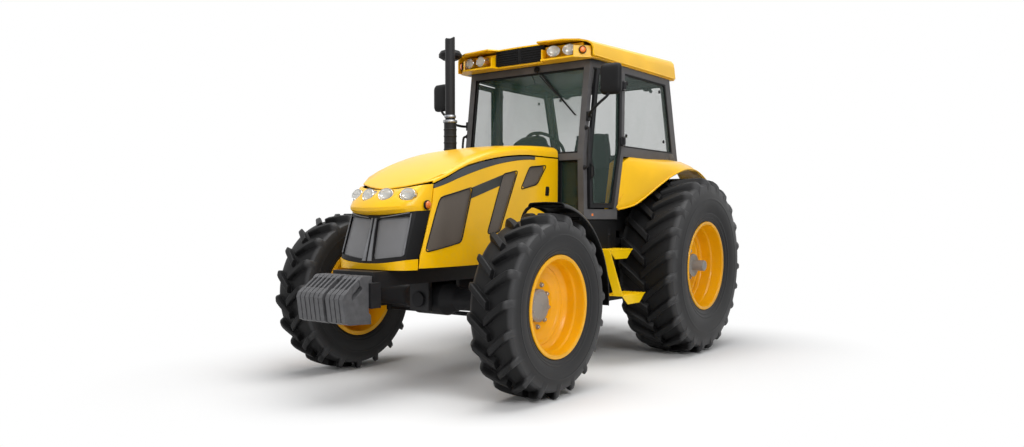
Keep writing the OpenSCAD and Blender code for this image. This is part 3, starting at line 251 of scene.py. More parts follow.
def satin_paint(name, colour, edge=0.003, rough=0.42, inner_colour=None):
    """Powder coat: fine even grain, paler where it is handled; painted shade in a dark colour on the faces that
    look into the cab, rearward and down.
    """
    f = Finish(name)
    cloud = f.noise(5, 4)
    grain = f.noise(420, 2)
    scuff = f.noise(19, 6, f.stretch(1, 1, 0.4)).step(0.6, 0.78)
    tone = f.mix(shade(colour, 0.86), shade(colour, 1.14), cloud.step(0.3, 0.7))
    tone = f.mix(tone, shade(colour, 1.5), scuff * 0.3)
    if inner_colour:
        x, y, z = f.axes()
        nx, ny, nz = f.axes(f.node("ShaderNodeTexCoord", out="Normal"))
        # painted shade: faces that look into the cab, rearward and down take the dark colour
        rearward = (nx * -1).step(0.5, 0.8) * (x - REAR_AXLE_X).step(0.5, 0.52)
        inward_shade = (y * ny * -1).step(0.1, 0.3).most(rearward).most((nz * -1).step(0.5, 0.8))
        tone = f.mix(tone, inner_colour, inward_shade)
    f.set(base_color=tone, roughness=rough + cloud * 0.16 - scuff * 0.06, specular_IOR_level=0.2)
    return f.bump(grain, 0.12, 0.0008, edge)


def cast_iron(name, colour, edge=0.005):
    """Painted casting: sand texture, pits, paint worn off the high spots."""
    f = Finish(name)
    sand = f.noise(150, 4)
    lumps = f.noise(24, 4)
    pits = f.noise(75, 2).step(0.62, 0.7)
    tone = f.mix(shade(colour, 0.86), shade(colour, 1.1), lumps.step(0.32, 0.7))
    f.set(base_color=f.mix(tone, shade(colour, 0.6), pits * 0.4), roughness=0.42 + lumps * 0.16,
          metallic=0.15, specular_IOR_level=0.35)
    return f.bump(sand * 0.6 + lumps * 0.8 - pits * 0.5, 0.35, 0.003, edge)


def tyre_rubber(name, axle_x, radius, middle, width):
    """Rubber: black in the tread; a lighter grey on the sidewalls is painted sheen, and the palest grey at the
    lug tips on the shoulders, mottled by grit, is a painted highlight.
    """
    f = Finish(name)
    x, y, z = f.axes()
    across = (y * y).root() - middle
    aside = (across * across).root()
    reach = ((x - axle_x) * (x - axle_x) + (z - radius) * (z - radius)).root()
    wall = aside.step(0.36 * width, 0.44 * width)
    shoulder_highlight = wall * reach.step(0.80 * radius, 0.90 * radius)
    cloud = f.noise(7, 5)
    grit = f.noise(120, 4)
    tone = f.mix(shade(TYRE_BLACK, 0.6), shade(TYRE_BLACK, 1.1), cloud)
    # painted sheen: the sidewalls are a lighter grey
    tone = f.mix(tone, srgb(40, 40, 41), wall * (0.7 + cloud * 0.3))
    # painted highlight: the palest grey on the lug tips near the shoulders
    tone = f.mix(tone, srgb(66, 66, 67), shoulder_highlight * (0.45 + grit * 0.45))
    f.set(base_color=tone, roughness=0.46 + cloud * 0.14 - wall * 0.08, specular_IOR_level=0.22)
    return f.bump(grit + f.noise(420, 2) * 0.5, 0.12, 0.0015, 0.006)


def moulded_plastic(name, colour, edge=0.003):
    """Grained black plastic with a dull shine."""
    f = Finish(name)
    cells = f.node("ShaderNodeTexVoronoi", None, {"Vector": f.place, "Scale": 320.0})
    cloud = f.noise(6, 4)
    tone = f.mix(shade(colour, 0.8), shade(colour, 1.4), cloud)
    f.set(base_color=f.mix(tone, shade(colour, 1.7), f.noise(30, 6).step(0.62, 0.8) * 0.25),
          roughness=0.4 + cloud * 0.16, specular_IOR_level=0.18)
    return f.bump(cells, 0.12, 0.0008, edge)


def perforated(name, colour, front, pitch):
    """Pressed screen: staggered round holes, dark behind; ahead of the lamps it takes the grille's colour."""
    f = Finish(name)
    x, y, z = f.axes()
    ahead = (x - REAR_AXLE_X).step(3.10, 3.12) * (1 - (y * y).root().step(0.362, 0.366))
    u = (x * (1 - ahead) + y * ahead) * (1 / pitch)
    v = z * (1 / pitch)
    a = u.wave() - 0.5
    b = v.wave() - 0.5
    c = (u + 0.5).wave() - 0.5
    d = (v + 0.5).wave() - 0.5
    hole = (a * a + b * b).least(c * c + d * d).root()
    solid = hole.step(0.16, 0.26)
    cloud = f.noise(9, 4)
    colour = f.mix(colour, front, ahead)
    tone = f.mix(colour, (0, 0, 0, 1), 0.25 - cloud * 0.25)
    f.set(base_color=f.mix(f.mix(tone, (0, 0, 0, 1), 0.55), tone, solid), roughness=0.4 + cloud * 0.2,
          metallic=0.2)
    return f.bump(solid, 0.25, 0.0015)


def window_glass(name, clear=0.13):
    """Green-tinted pane: clear face on, denser at a slant, faintly smeared; the windscreen has a deeper tint,
    and painted shade that grows towards its top and the driver's left.
    """
    f = Finish(name)
    slant = f.node("ShaderNodeLayerWeight", None, {"Blend": 0.3}, out="Facing")
    smear = f.noise(3.5, 4, f.stretch(1, 1, 0.3)).step(0.45, 0.8)
    x, y, z = f.axes()
    # windscreen: a deeper tint all over, plus painted shade towards the top and the driver's left
    screen = (x - REAR_AXLE_X).step(1.28, 1.33) * (0.07 + y.step(-0.6, 0.5) * z.step(1.8, 2.5) * 0.16)
    f.set(base_color=f.mix(GLASS_TINT, shade(GLASS_TINT, 1.6), smear * 0.4),
          alpha=clear + slant * 0.2 + smear * 0.03 + screen, roughness=0.03 + smear * 0.05)
    f.material.surface_render_method = "DITHERED"
    return f


def lamp_glass(name, tint, clear=0.35):
    """Fluted lens."""
    f = Finish(name)
    x, y, z = f.axes()
    flutes = (y * 55).wave()
    slant = f.node("ShaderNodeLayerWeight", None, {"Blend": 0.4}, out="Facing")
    f.set(base_color=f.mix(tint, srgb(255, 255, 255), flutes * 0.25), alpha=clear + slant * 0.5,
          roughness=0.05 + flutes * 0.04)
    return f.bump(flutes, 0.4, 0.002)


def coloured_lens(name, colour):
    """Moulded coloured lens with prism ribs."""
    f = Finish(name)
    x, y, z = f.axes()
    ribs = (z * 130).wave()
    f.set(base_color=f.mix(shade(colour, 0.7), shade(colour, 1.15), ribs), roughness=0.16 + ribs * 0.1,
          coat_weight=0.6)
    return f.bump(ribs, 0.4, 0.0015, 0.003)


def bright_metal(name, colour, rough=0.18):
    """Plated or machined metal with fine streaks."""
    f = Finish(name)
    streak = f.noise(60, 4, f.stretch(1, 1, 8))
    f.set(base_color=f.mix(shade(colour, 0.8), colour, streak), metallic=0.9 + streak * 0.1,
          roughness=rough + streak * 0.16)
    return f.bump(streak, 0.08, 0.0006)


def seat_fabric(name, colour):
    """Coarse woven cover."""
    f = Finish(name)
    x, y, z = f.axes()
    weave = ((x + z) * 260).wave() * ((y + z) * 260).wave()
    cloud = f.noise(8, 4)
    tone = f.mix(shade(colour, 0.7), shade(colour, 1.4), weave)
    f.set(base_color=f.mix(tone, shade(colour, 1.7), cloud.step(0.55, 0.8) * 0.3), roughness=0.82 + weave * 0.1,
          sheen_weight=0.3)
    return f.bump(weave, 0.5, 0.0015)


PAINT = gloss_paint("hood_enamel", YELLOW)
RIM_PAINT = gloss_paint("rim_enamel", SHADED_RIM_YELLOW, dust=0.05)
STEP_PAINT = gloss_paint("step_enamel", STEP_YELLOW, dust=0.02)
# on the cab frame the dark inner colour is painted shade
CAB_PAINT = satin_paint("cab_powder_coat", CAB_GREY, inner_colour=TRIM_BLACK)
ROOF_PAINT = gloss_paint("roof_enamel", YELLOW, inner_colour=TRIM_BLACK)
STRIPE_PAINT = satin_paint("stripe_paint", STRIPE_GREY, rough=0.34)
CHASSIS_PAINT = satin_paint("chassis_paint", CHASSIS_BLACK, edge=0.006)
DOOR_PAINT = satin_paint("door_paint", srgb(30, 30, 32))
STACK_PAINT = satin_paint("stack_paint", srgb(34, 34, 36))
WEIGHT_IRON = cast_iron("weight_casting", IRON_GREY)
SUPPORT_IRON = cast_iron("support_casting", srgb(30, 30, 32))
FRONT_RUBBER = tyre_rubber("front_tyre_rubber", REAR_AXLE_X + WHEELBASE, FRONT_WHEEL_RADIUS, FRONT_WHEEL_Y,
                           FRONT_TYRE_WIDTH)
REAR_RUBBER = tyre_rubber("rear_tyre_rubber", REAR_AXLE_X, REAR_WHEEL_RADIUS, REAR_WHEEL_Y, REAR_TYRE_WIDTH)
PLASTIC = moulded_plastic("trim_plastic", TRIM_BLACK)
GUARD_PLASTIC = satin_paint("guard_plastic", srgb(20, 20, 21), rough=0.26)
SCREEN = perforated("hood_screen", MESH_GREY, GRILLE_GREY, 0.008)
GLASS = window_glass("cab_glazing")
LENS = lamp_glass("lamp_lens", srgb(226, 226, 222), 0.32)
AMBER_LENS = coloured_lens("amber_lens", AMBER)
CHROME = bright_metal("lamp_bowl_plating", srgb(226, 224, 218), 0.1)
BOLT_STEEL = bright_metal("bolt_zinc", STEEL, 0.32)
ALLOY = satin_paint("grille_alloy", srgb(122, 123, 126), rough=0.34)
SLATE_PAINT = satin_paint("slate_paint", srgb(62, 64, 62), rough=0.34)
HUB_PAINT = satin_paint("hub_paint", HUB_GREY, rough=0.36)
MIRROR_GLASS = bright_metal("mirror_silvering", srgb(200, 208, 214), 0.04)
RED_LENS = coloured_lens("red_lens", RED)
FABRIC_COVER = seat_fabric("seat_cover", FABRIC)
SEAL = moulded_plastic("rubber_seal", srgb(20, 20, 21), edge=0.001)

NODE_FINISHES = [
    (PAINT, ["hood_lid", "hood_sides", "nose_cowl", "cab_roof", "rear_fenders"]),
    (ROOF_PAINT, ["roof_base"]),
    (STEP_PAINT, ["steps"]),
    (RIM_PAINT, ["front_left_rim", "front_right_rim", "rear_left_rim", "rear_right_rim"]),
    (CAB_PAINT, ["cab_frame"]),
    (STRIPE_PAINT, ["hood_stripes"]),
    (STACK_PAINT, ["exhaust"]),
    (CHASSIS_PAINT, ["engine", "transmission", "front_axle", "left_knuckle", "right_knuckle", "tie_rod",
                     "hood_bulkhead", "cab_floor", "seat_base", "drawbar", "lower_links", "lift_arms",
                     "lift_rods", "top_link", "steering_column"]),
    (DOOR_PAINT, ["left_door", "right_door"]),
    (SUPPORT_IRON, ["front_support"]),
    (WEIGHT_IRON, ["front_weights"]),
    (HUB_PAINT, ["front_left_hub", "front_right_hub", "rear_left_hub", "rear_right_hub"]),
    (FRONT_RUBBER, ["front_left_tyre", "front_right_tyre"]),
    (REAR_RUBBER, ["rear_left_tyre", "rear_right_tyre"]),
    (PLASTIC, ["front_mudguard", "grille_frame", "roof_panel", "dashboard", "mirrors", "side_tanks", "intake"]),
    (SCREEN, ["mesh_panels"]),
    (GLASS, ["cab_glass", "left_door_glass", "right_door_glass"]),
    (LENS, ["lamps"]),
    (AMBER_LENS, ["turn_lamps"]),
    (FABRIC_COVER, ["seat_cushions"]),
]
for finish, names in NODE_FINISHES:
    for name in names:
        NODES[name].data.materials.clear()
        NODES[name].data.materials.append(finish.material)


# Making shapes

class Shape:
    """Points and faces of one piece, gathered part by part."""

    def __init__(self):
        self.points = []
        self.faces = []

    def add(self, points, faces):
        start = len(self.points)
        self.points.extend(Vector(p) for p in points)
        self.faces.extend([i + start for i in face] for face in faces)

    def loft(self, rings, caps=True):
        """Skin through closed rings of points."""
        size = len(rings[0])
        faces = [(r * size + k, r * size + (k + 1) % size, (r + 1) * size + (k + 1) % size, (r + 1) * size + k)
                 for r in range(len(rings) - 1) for k in range(size)]
        if caps:
            faces.append(tuple(reversed(range(size))))
            faces.append(tuple((len(rings) - 1) * size + k for k in range(size)))
        self.add([p for ring in rings for p in ring], faces)

    def revolve(self, profile, centre, axis, steps, oval=None):
        """Profile of (distance along the axis, radius) turned about the axis, or squeezed to a level oval."""
        axis = Vector(axis).normalized()
        side = axis.orthogonal().normalized()
        other = axis.cross(side)
        if oval:
            side = Vector((0, 0, 1)).cross(axis).normalized()
            side, other = side * oval[0], axis.cross(side) * oval[1]
        rings = []
        for depth, radius in profile:
            turns = [2 * math.pi * k / steps for k in range(steps)]
            rings.append([centre + axis * depth + (side * math.cos(t) + other * math.sin(t)) * radius
                          for t in turns])
        self.loft(rings, caps=False)

    def tube(self, path, radius, sides=12, caps=True):
        """Round bar along a path."""
        path = [Vector(p) for p in path]
        rings = []
        side = None
        for i, p in enumerate(path):
            ahead = (path[min(i + 1, len(path) - 1)] - path[max(i - 1, 0)]).normalized()
            if side is None:
                side = ahead.orthogonal().normalized()
            side = (side - ahead * side.dot(ahead)).normalized()
            other = ahead.cross(side)
            rings.append([p + (side * math.cos(2 * math.pi * k / sides)
                               + other * math.sin(2 * math.pi * k / sides)) * radius for k in range(sides)])
        self.loft(rings, caps=caps)

    def block(self, low, high):
        """Box between two corners."""
        low, high = Vector(low), Vector(high)
        points = [Vector((x, y, z)) for z in (low.z, high.z) for y in (low.y, high.y) for x in (low.x, high.x)]
        self.add(points, [(0, 2, 3, 1), (4, 5, 7, 6), (0, 1, 5, 4), (2, 6, 7, 3), (0, 4, 6, 2), (1, 3, 7, 5)])

    def mirrored(self):
        """Adds the other side's copy."""
        points = [Vector((p.x, -p.y, p.z)) for p in self.points]
        faces = [tuple(reversed(face)) for face in self.faces]
        self.add(points, faces)

    def make(self, name, finish, body="chassis", bevel=0.0, smooth=35, flat=False):
        """The finished object, riding on its body in its finish's slot."""
        mesh = bpy.data.meshes.new(name)
        mesh.from_pydata([tuple(p) for p in self.points], [], self.faces)
        work = bmesh.new()
        work.from_mesh(mesh)
        bmesh.ops.remove_doubles(work, verts=work.verts, dist=0.00002)
        if flat:
            bmesh.ops.dissolve_limit(work, angle_limit=0.01, verts=work.verts, edges=work.edges)
        bmesh.ops.recalc_face_normals(work, faces=work.faces)
        work.to_mesh(mesh)
        work.free()
        mesh.polygons.foreach_set("use_smooth", [True] * len(mesh.polygons))
        mesh.set_sharp_from_angle(angle=math.radians(smooth))
        mesh.materials.append(finish.material)
        piece = bpy.data.objects.new(name, mesh)
        bpy.context.scene.collection.objects.link(piece)
        if bevel:
            rounding = piece.modifiers.new("rounding", "BEVEL")
            rounding.width = bevel
            rounding.segments = 2
            rounding.limit_method = "ANGLE"
            rounding.angle_limit = math.radians(40)
        if body:
            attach(piece, body)
        return piece


def mix(a, b, t):
    """Value a turned towards value b by a share."""
    return a + (b - a) * t


def along(stations, t):
    """Smooth value through evenly spaced stations, t from 0 to 1."""
    u = t * (len(stations) - 1)
    i = min(int(u), len(stations) - 2)
    p = [stations[max(0, min(len(stations) - 1, i + k))] for k in (-1, 0, 1, 2)]
    f = u - i
    return 0.5 * (2 * p[1] + (p[2] - p[0]) * f + (2 * p[0] - 5 * p[1] + 4 * p[2] - p[3]) * f * f
                  + (3 * p[1] - p[0] - 3 * p[2] + p[3]) * f ** 3)


def rounded(points, radius, steps=4):
    """Outline with its corners rounded."""
    out = []
    for i, point in enumerate(points):
        here = Vector(point)
        before = (Vector(points[i - 1]) - here).normalized()
        after = (Vector(points[(i + 1) % len(points)]) - here).normalized()
        for k in range(steps + 1):
            t = k / steps
            start, end = here + before * radius, here + after * radius
            out.append(tuple(mix(mix(start, here, t), mix(here, end, t), t)))
    return out


def spaced(points, gap):
    """Closed outline with points no further apart than a gap."""
    out = []
    for i, point in enumerate(points):
        here, there = Vector(point), Vector(points[(i + 1) % len(points)])
        count = max(1, math.ceil((there - here).length / gap))
        out.extend(tuple(mix(here, there, k / count)) for k in range(count))
    return out


def smooth_path(points, steps=8):
    """Smooth curve through points."""
    points = [Vector(p) for p in points]
    count = (len(points) - 1) * steps
    return [along(points, i / count) for i in range(count + 1)]


def rectangle(left, low, right, high):
    """Outline of a rectangle, anticlockwise."""
    return [(left, low), (right, low), (right, high), (left, high)]


def drawn_in(outline, distance):
    """Outline with each point moved toward its middle."""
    middle = sum((Vector(p) for p in outline), Vector((0, 0))) / len(outline)
    return [Vector(p) + (middle - Vector(p)).normalized() * distance for p in outline]


def gasket(shape, outline, place, radius, corner=0.03, gap=0.06):
    """Closed round section: an outline with rounded corners, set on a surface by a function."""
    path = [place(*p) for p in spaced(rounded(outline, corner), gap)]
    shape.tube(path + path[:1], radius, 8, caps=False)


def polygons(mesh):
    """Corner numbers of a mesh's faces."""
    return [list(face.vertices) for face in mesh.polygons]


def bolt(shape, spot, axis, size, height):
    """Hexagon head on a washer."""
    shape.revolve([(0.0, 0.0), (0.0, size * 1.35), (height * 0.25, size * 1.3), (height * 0.25, 0.0)],
                  spot, axis, 16)
    shape.revolve([(0.0, size), (height * 0.85, size), (height, size * 0.8), (height, 0.0)], spot, axis, 6)


def bolt_ring(shape, centre, axis, radius, count, size, height, phase=0.0):
    """Bolts round a circle."""
    axis = Vector(axis).normalized()
    side = axis.orthogonal().normalized()
    other = axis.cross(side)
    for i in range(count):
        a = 2 * math.pi * (i + phase) / count
        spot = centre + (side * math.cos(a) + other * math.sin(a)) * radius
        bolt(shape, spot, axis, size, height)


# Smooth skins over the lofted CAD panels

def skin(node, finish, body="chassis", smooth=32, bevel=0.0, shift=None):
    """Smooth-shaded copy of a lofted panel, which it stands for; a bevel rounds its edges."""
    mesh = NODES[node].data
    shape = Shape()
    points = [shift(v.co) if shift else v.co for v in mesh.vertices]
    shape.add(points, polygons(mesh))
    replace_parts(shape.make(f"{node}_skin", finish, body, bevel, smooth, flat=bevel > 0), node)


skin("hood_lid", PAINT, "hood")
for node in ("hood_sides", "nose_cowl", "cab_roof", "rear_fenders"):
    skin(node, PAINT)
skin("hood_stripes", STRIPE_PAINT)
skin("grille_frame", PLASTIC)
skin("mesh_panels", SCREEN)
WEIGHT_MIDDLES = [(i - 4.5) * 0.0466 + (-0.012 if i < 6 else 0.012) for i in range(10)]


def thinner_weight(point):
    """Draws each weight's faces toward its own middle, so that the joints between the plates show."""
    middle = min(WEIGHT_MIDDLES, key=lambda y: abs(y - point.y))
    return Vector((point.x, mix(middle, point.y, 0.86), point.z))


skin("front_weights", WEIGHT_IRON, smooth=30, bevel=0.006, shift=thinner_weight)
skin("cab_frame", CAB_PAINT, smooth=30, bevel=0.006)
for side in SIDES:
    skin(f"{side}_door", DOOR_PAINT, f"door_{side}", 30, 0.004)


# Tyres

LUG_HEIGHT = 0.048


def tyre_profile(radius, width, rim_radius, rim_width):
    """Half section of the carcass, as (distance from the middle, radius), from bead to crown."""
    flange, wall, rings = 0.022, 0.014, 40
    tread = radius - LUG_HEIGHT
    bead = (rim_width / 2 - wall + 0.006, rim_radius + flange + 0.004)
    shoulder = (0.46 * width, tread - 0.026)
    bulge = width / 2 - mix(bead[0], shoulder[0], 0.5)
    points = [(rim_width / 2 - wall, rim_radius), (rim_width / 2 - wall, rim_radius + flange)]
    for i in range(rings + 1):
        t = i / rings
        ridge = 0.0035 * sum(math.exp(-((t - spot) / 0.014) ** 2) for spot in (0.1, 0.2, 0.62))
        points.append((mix(bead[0], shoulder[0], t) + bulge * math.sin(math.pi * t) + ridge,
                       mix(bead[1], shoulder[1], t)))
    return points + [(0.42 * width, tread - 0.015), (0.36 * width, tread - 0.007), (0.2 * width, tread),
                     (0.0, tread + 0.001)]


def wheel(end, side):
    """A wheel's body and its centre."""
    return f"wheel_{end}_{side}", Vector(JOINTS[f"roll_{end}_{side}"]["pos_m"])


def tyre(end, side, finish, lugs, rim_radius, rim_width):
    """Agricultural tyre: carcass and two rows of long lugs that meet in a V at the crown."""
    node, (body, centre) = f"{end}_{side}_tyre", wheel(end, side)
    low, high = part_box(node)
    radius = (high.z - low.z) / 2
    width = high.y - low.y
    shape = Shape()
    half = tyre_profile(radius, width, rim_radius, rim_width)
    outline = half + [(-a, r) for a, r in reversed(half[:-1])]
    shape.revolve(outline, centre, (0, 1, 0), 144)
    sweep = [0.0, 0.40, 0.68, 0.74]
    reach = [-0.05, 0.42, 0.80, 0.965]
    tip_drop = [0.0, 0.0, 0.010, 0.058]
    root_drop = [0.0, 0.004, 0.016, 0.088]
    tip_width, root_width = [0.082, 0.082, 0.070, 0.046], [0.112, 0.116, 0.126, 0.150]
    steps, round_off = 9, 0.007
    for half_side in (1, -1):
        for i in range(lugs):
            turn = 2 * math.pi * (i + (0 if half_side > 0 else 0.5)) / lugs
            rings = []
            for s in range(steps + 1):
                t = s / steps
                y = along(reach, t) * width / 2
                back = along(sweep, t) * width / 2
                top = radius - along(tip_drop, t)
                base = radius - LUG_HEIGHT - 0.016 - along(root_drop, t)
                tip, root = along(tip_width, t) * radius, along(root_width, t) * radius
                section = [(base, -root / 2), (top - round_off, -tip / 2 - 0.002), (top, -tip / 2 + round_off),
                           (top, tip / 2 - round_off), (top - round_off, tip / 2 + 0.002), (base, root / 2)]
                ring = []
                for r, w in section:
                    a = turn + (w - back) / radius
                    ring.append(centre + Vector((r * math.sin(a), half_side * y, r * math.cos(a))))
                rings.append(ring)
            shape.loft(rings)
    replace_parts(shape.make(f"{node}_lugged", finish, body, smooth=38), node)


FRONT_RIM = (0.359, 0.344)
REAR_RIM = (0.410, 0.524)
for side in SIDES:
    tyre("front", side, FRONT_RUBBER, 19, *FRONT_RIM)
    tyre("rear", side, REAR_RUBBER, 23, *REAR_RIM)


VALVE_TURN = 0.9


def rim(end, side, size, disc, bore):
    """Wheel rim: rolled flange, stepped barrel, pressed disc with a raised ring, valve stem."""
    node, (body, centre) = f"{end}_{side}_rim", wheel(end, side)
    r, half = size[0], size[1] / 2
    inner, (disc_in, disc_out) = r - 0.012, disc
    flat, brim = bore + 0.090, inner - 0.010

    def cone(t, lift=0.0):
        return (mix(disc_out, disc_in, t) + lift, mix(brim, flat, t))
    profile = [(-half, inner), (-half, r + 0.020), (0.003 - half, r + 0.022), (0.014 - half, r + 0.020),
               (0.014 - half, r), (half - 0.014, r), (half - 0.014, r + 0.018), (half - 0.008, r + 0.022),
               (half - 0.002, r + 0.019), (half, r + 0.010), (half - 0.003, inner + 0.004),
               (half - 0.010, inner + 0.001), (half - 0.030, inner)]
    step = mix(disc_out, half, 0.48)
    profile += [(step + 0.012, inner), (step + 0.006, inner - 0.002), (step - 0.004, inner - 0.009),
                (step - 0.012, inner - 0.010), (disc_out + 0.022, inner - 0.010),
                (disc_out + 0.010, inner - 0.013), (disc_out + 0.003, inner - 0.022), cone(0.16), cone(0.30),
                cone(0.35, 0.006), cone(0.50, 0.008), cone(0.55, 0.002), cone(0.60), cone(0.92, -0.001),
                cone(1.0), (disc_in, bore + 0.06), (disc_in, bore + 0.0005), (disc_in - 0.014, bore + 0.0005),
                (disc_in - 0.014, flat), (disc_out - 0.014, brim), (disc_out - 0.030, inner - 0.006),
                (-half, inner)]
    shape = Shape()
    out = Vector((0, SIDES[side], 0))
    shape.revolve(profile, centre, out, 96)
    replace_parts(shape.make(f"{node}_pressed", RIM_PAINT, body, smooth=42), node)
    valve = Shape()
    spoke = Vector((math.cos(VALVE_TURN), 0, math.sin(VALVE_TURN)))
    foot = centre + spoke * (inner - 0.010) + out * mix(disc_out, half, 0.30)
    valve.tube([foot + spoke * 0.004, foot - spoke * 0.018, foot - spoke * 0.030 + out * 0.020,
                foot - spoke * 0.030 + out * 0.045], 0.006, 10)
    valve.revolve([(0.0, 0.006), (0.0, 0.009), (0.014, 0.009), (0.016, 0.0)],
                  foot - spoke * 0.030 + out * 0.040, out, 12)
    valve.make(f"{node}_valve", SEAL, body, smooth=40)


for side in SIDES:
    rim("front", side, FRONT_RIM, (-0.046, 0.008), 0.122)
    rim("rear", side, REAR_RIM, (0.020, 0.030), 0.150)


def wheel_bolts(side, end, rings):
    """Nuts that hold a disc to its hub, and the bolts of the hub's cover."""
    shape, (body, centre) = Shape(), wheel(end, side)
    out = Vector((0, SIDES[side], 0))
    for away, *ring in rings:
        bolt_ring(shape, centre + out * away, out, *ring)
    shape.make(f"{end}_{side}_wheel_nuts", BOLT_STEEL, body)


for side in SIDES:
    wheel_bolts(side, "front", [(-0.047, 0.165, 10, 0.015, 0.022), (-0.004, 0.098, 8, 0.007, 0.014, 0.5)])
    wheel_bolts(side, "rear", [(0.019, 0.19, 8, 0.017, 0.026), (0.086, 0.092, 8, 0.009, 0.03, 0.5)])


# Lamps

HEAD_LAMPS = [(3.315, 0.090), (3.263, 0.262)]
HEAD_LAMP_Z = 1.492
WORK_LAMPS = [(1.552, 0.400), (1.530, 0.548)]
WORK_LAMP_Z = 2.772
HEAD_OVAL = (0.066, 0.050)
WORK_OVAL = (0.062, 0.048)


def lamp_shapes():
    """Bowls, bezels and lenses of the four headlamps and the four work lamps."""
    bowls, bezels, lenses = Shape(), Shape(), Shape()
    spots = []
    for hand in (1, -1):
        for x, y in HEAD_LAMPS:
            tilt, out = math.radians(14), math.radians(8)
            flat = math.cos(tilt)
            axis = Vector((flat * math.cos(out), hand * flat * math.sin(out), math.sin(tilt)))
            spots.append((at(x, hand * y, HEAD_LAMP_Z), axis, 0.018, HEAD_OVAL))
        for x, y in WORK_LAMPS:
            out = math.radians(15)
            axis = Vector((math.cos(out), hand * math.sin(out), 0))
            spots.append((at(x, hand * y, WORK_LAMP_Z), axis, 0.012, WORK_OVAL))
    for spot, axis, face, oval in spots:
        bowls.revolve([(face - 0.004, 0.96), (face - 0.016, 0.84), (face - 0.03, 0.58), (face - 0.038, 0.24),
                       (face - 0.038, 0.0)], spot, axis, 40, oval)
        bowls.revolve([(face - 0.038, 0.011), (face - 0.02, 0.011), (face - 0.013, 0.006), (face - 0.011, 0.0)],
                      spot, axis, 16)
        bezels.revolve([(face - 0.06, 0.97), (face - 0.004, 0.995), (face, 1.0), (face + 0.003, 0.97),
                        (face, 0.92), (face - 0.008, 0.9)], spot, axis, 48, oval)
        lenses.revolve([(face - 0.002, 0.94), (face + 0.004, 0.8), (face + 0.009, 0.5), (face + 0.011, 0.2),
                        (face + 0.011, 0.0)], spot, axis, 40, oval)
    bowls.make("lamp_bowls", CHROME)
    bezels.make("lamp_rings", CHROME)
    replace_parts(lenses.make("lamp_lenses", LENS), "lamps")


lamp_shapes()


def signal_lamps():
    """Amber lamps on the nose, the roof and the rear decks, each in a black ring."""
    lenses, rings = Shape(), Shape()
    corner = math.radians(46.5)
    spots = [((3.180, 0.363, 1.419), (0, 1, 0), 0.031), ((-0.330, 0.660, 1.915), (-0.7, 0.7, 0.0), 0.040),
             ((1.504, 0.661, 2.762), (math.cos(corner), math.sin(corner), 0), 0.030)]
    for spot, axis, r in spots:
        lenses.revolve([(0.006, r * 0.9), (0.018, r * 0.86), (0.024, r * 0.7), (0.027, r * 0.35), (0.028, 0.0)],
                       at(*spot), axis, 32)
        rings.revolve([(0.0, 0.0), (0.0, r * 1.14), (0.006, r * 1.16), (0.012, r * 1.08), (0.014, r * 0.92),
                       (0.006, r * 0.88)], at(*spot), axis, 32)
    rings.revolve([(0.0, 0.02), (0.0, 0.044), (0.008, 0.044), (0.014, 0.016), (0.05, 0.014)],
                  at(-0.330, 0.660, 1.876), (0, 0, 1), 20)
    lenses.mirrored()
    rings.mirrored()
    rings.make("signal_lamp_rings", PLASTIC)
    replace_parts(lenses.make("signal_lamp_lenses", AMBER_LENS), "turn_lamps")


signal_lamps()


# Nose and hood trim

HOOD_HALF_WIDTH = 0.415
NOSE_START_X = 2.952
GRILLE_HALF_WIDTH = 0.363


def nose_reach(z):
    """Furthest forward that the hood comes at a height."""
    return 3.452 - max(0.0, z - 1.040) * 0.32


def squareness(z):
    """Exponent of the hood's rounded plan at a height."""
    return 2.1 if z > 1.4 else mix(3.0, 2.1, max(0.0, z - 1.0) / 0.4)


def nose_edge(y, z):
    """How far forward the hood's side reaches at a width and height."""
    n = squareness(z)
    return NOSE_START_X + (nose_reach(z) - NOSE_START_X) * (1 - (y / HOOD_HALF_WIDTH) ** n) ** (1 / n)


def side_skin_y(x, z):
    """Half width of the hood's side at a place along it."""
    n = squareness(z)
    t = min(0.985, max(0.0, (x - NOSE_START_X) / (nose_reach(z) - NOSE_START_X)))
    return HOOD_HALF_WIDTH * (1 - t ** n) ** (1 / n)


def grille_point(y, u, out=0.0):
    """Point on the bowed grille, u from its foot to its head."""
    s, n = y / GRILLE_HALF_WIDTH, mix(3.0, 2.5, u)
    z = mix(0.9905, 1.3445, u) + 0.036 * s * s
    back = nose_edge(GRILLE_HALF_WIDTH, z)
    return at(back + (mix(3.442, 3.348, u) - back) * (1 - abs(s) ** n) ** (1 / n) + out, y, z)


def grille_trim():
    """Flared bar between the screens with its slot, and the bright strips beside them."""
    bar, slot, strips = Shape(), Shape(), Shape()
    steps = 14
    rings, inner = [], []
    for i in range(steps + 1):
        u = mix(0.05, 0.94, i / steps)
        w = mix(0.046, 0.026, min(1.0, u * 1.6)) + 0.02 * max(0.0, 0.22 - u)
        rings.append([grille_point(y, u, out) for y, out in (
            (-w, -0.004), (-w, 0.008), (-w * 0.8, 0.011), (-0.012, 0.011), (-0.010, 0.004), (0.010, 0.004),
            (0.012, 0.011), (w * 0.8, 0.011), (w, 0.008), (w, -0.004))])
        inner.append([grille_point(y, u, out) for y, out in (
            (-0.0098, 0.002), (-0.0098, 0.0055), (0.0098, 0.0055), (0.0098, 0.002))])
    bar.loft(rings)
    slot.loft(inner)
    for hand in (1, -1):
        strips.tube([grille_point(hand * mix(0.318, 0.309, i / steps), mix(0.12, 0.96, i / steps), 0.003)
                     for i in range(steps + 1)], 0.0045, 8)
        strips.tube([grille_point(hand * mix(0.062, 0.298, i / steps), mix(0.95, 0.985, i / steps), 0.003)
                     for i in range(steps + 1)], 0.004, 8)
    bar.make("grille_bar", ALLOY, smooth=40)
    slot.make("grille_bar_slot", PLASTIC)
    strips.make("grille_strips", ALLOY, smooth=60)


grille_trim()


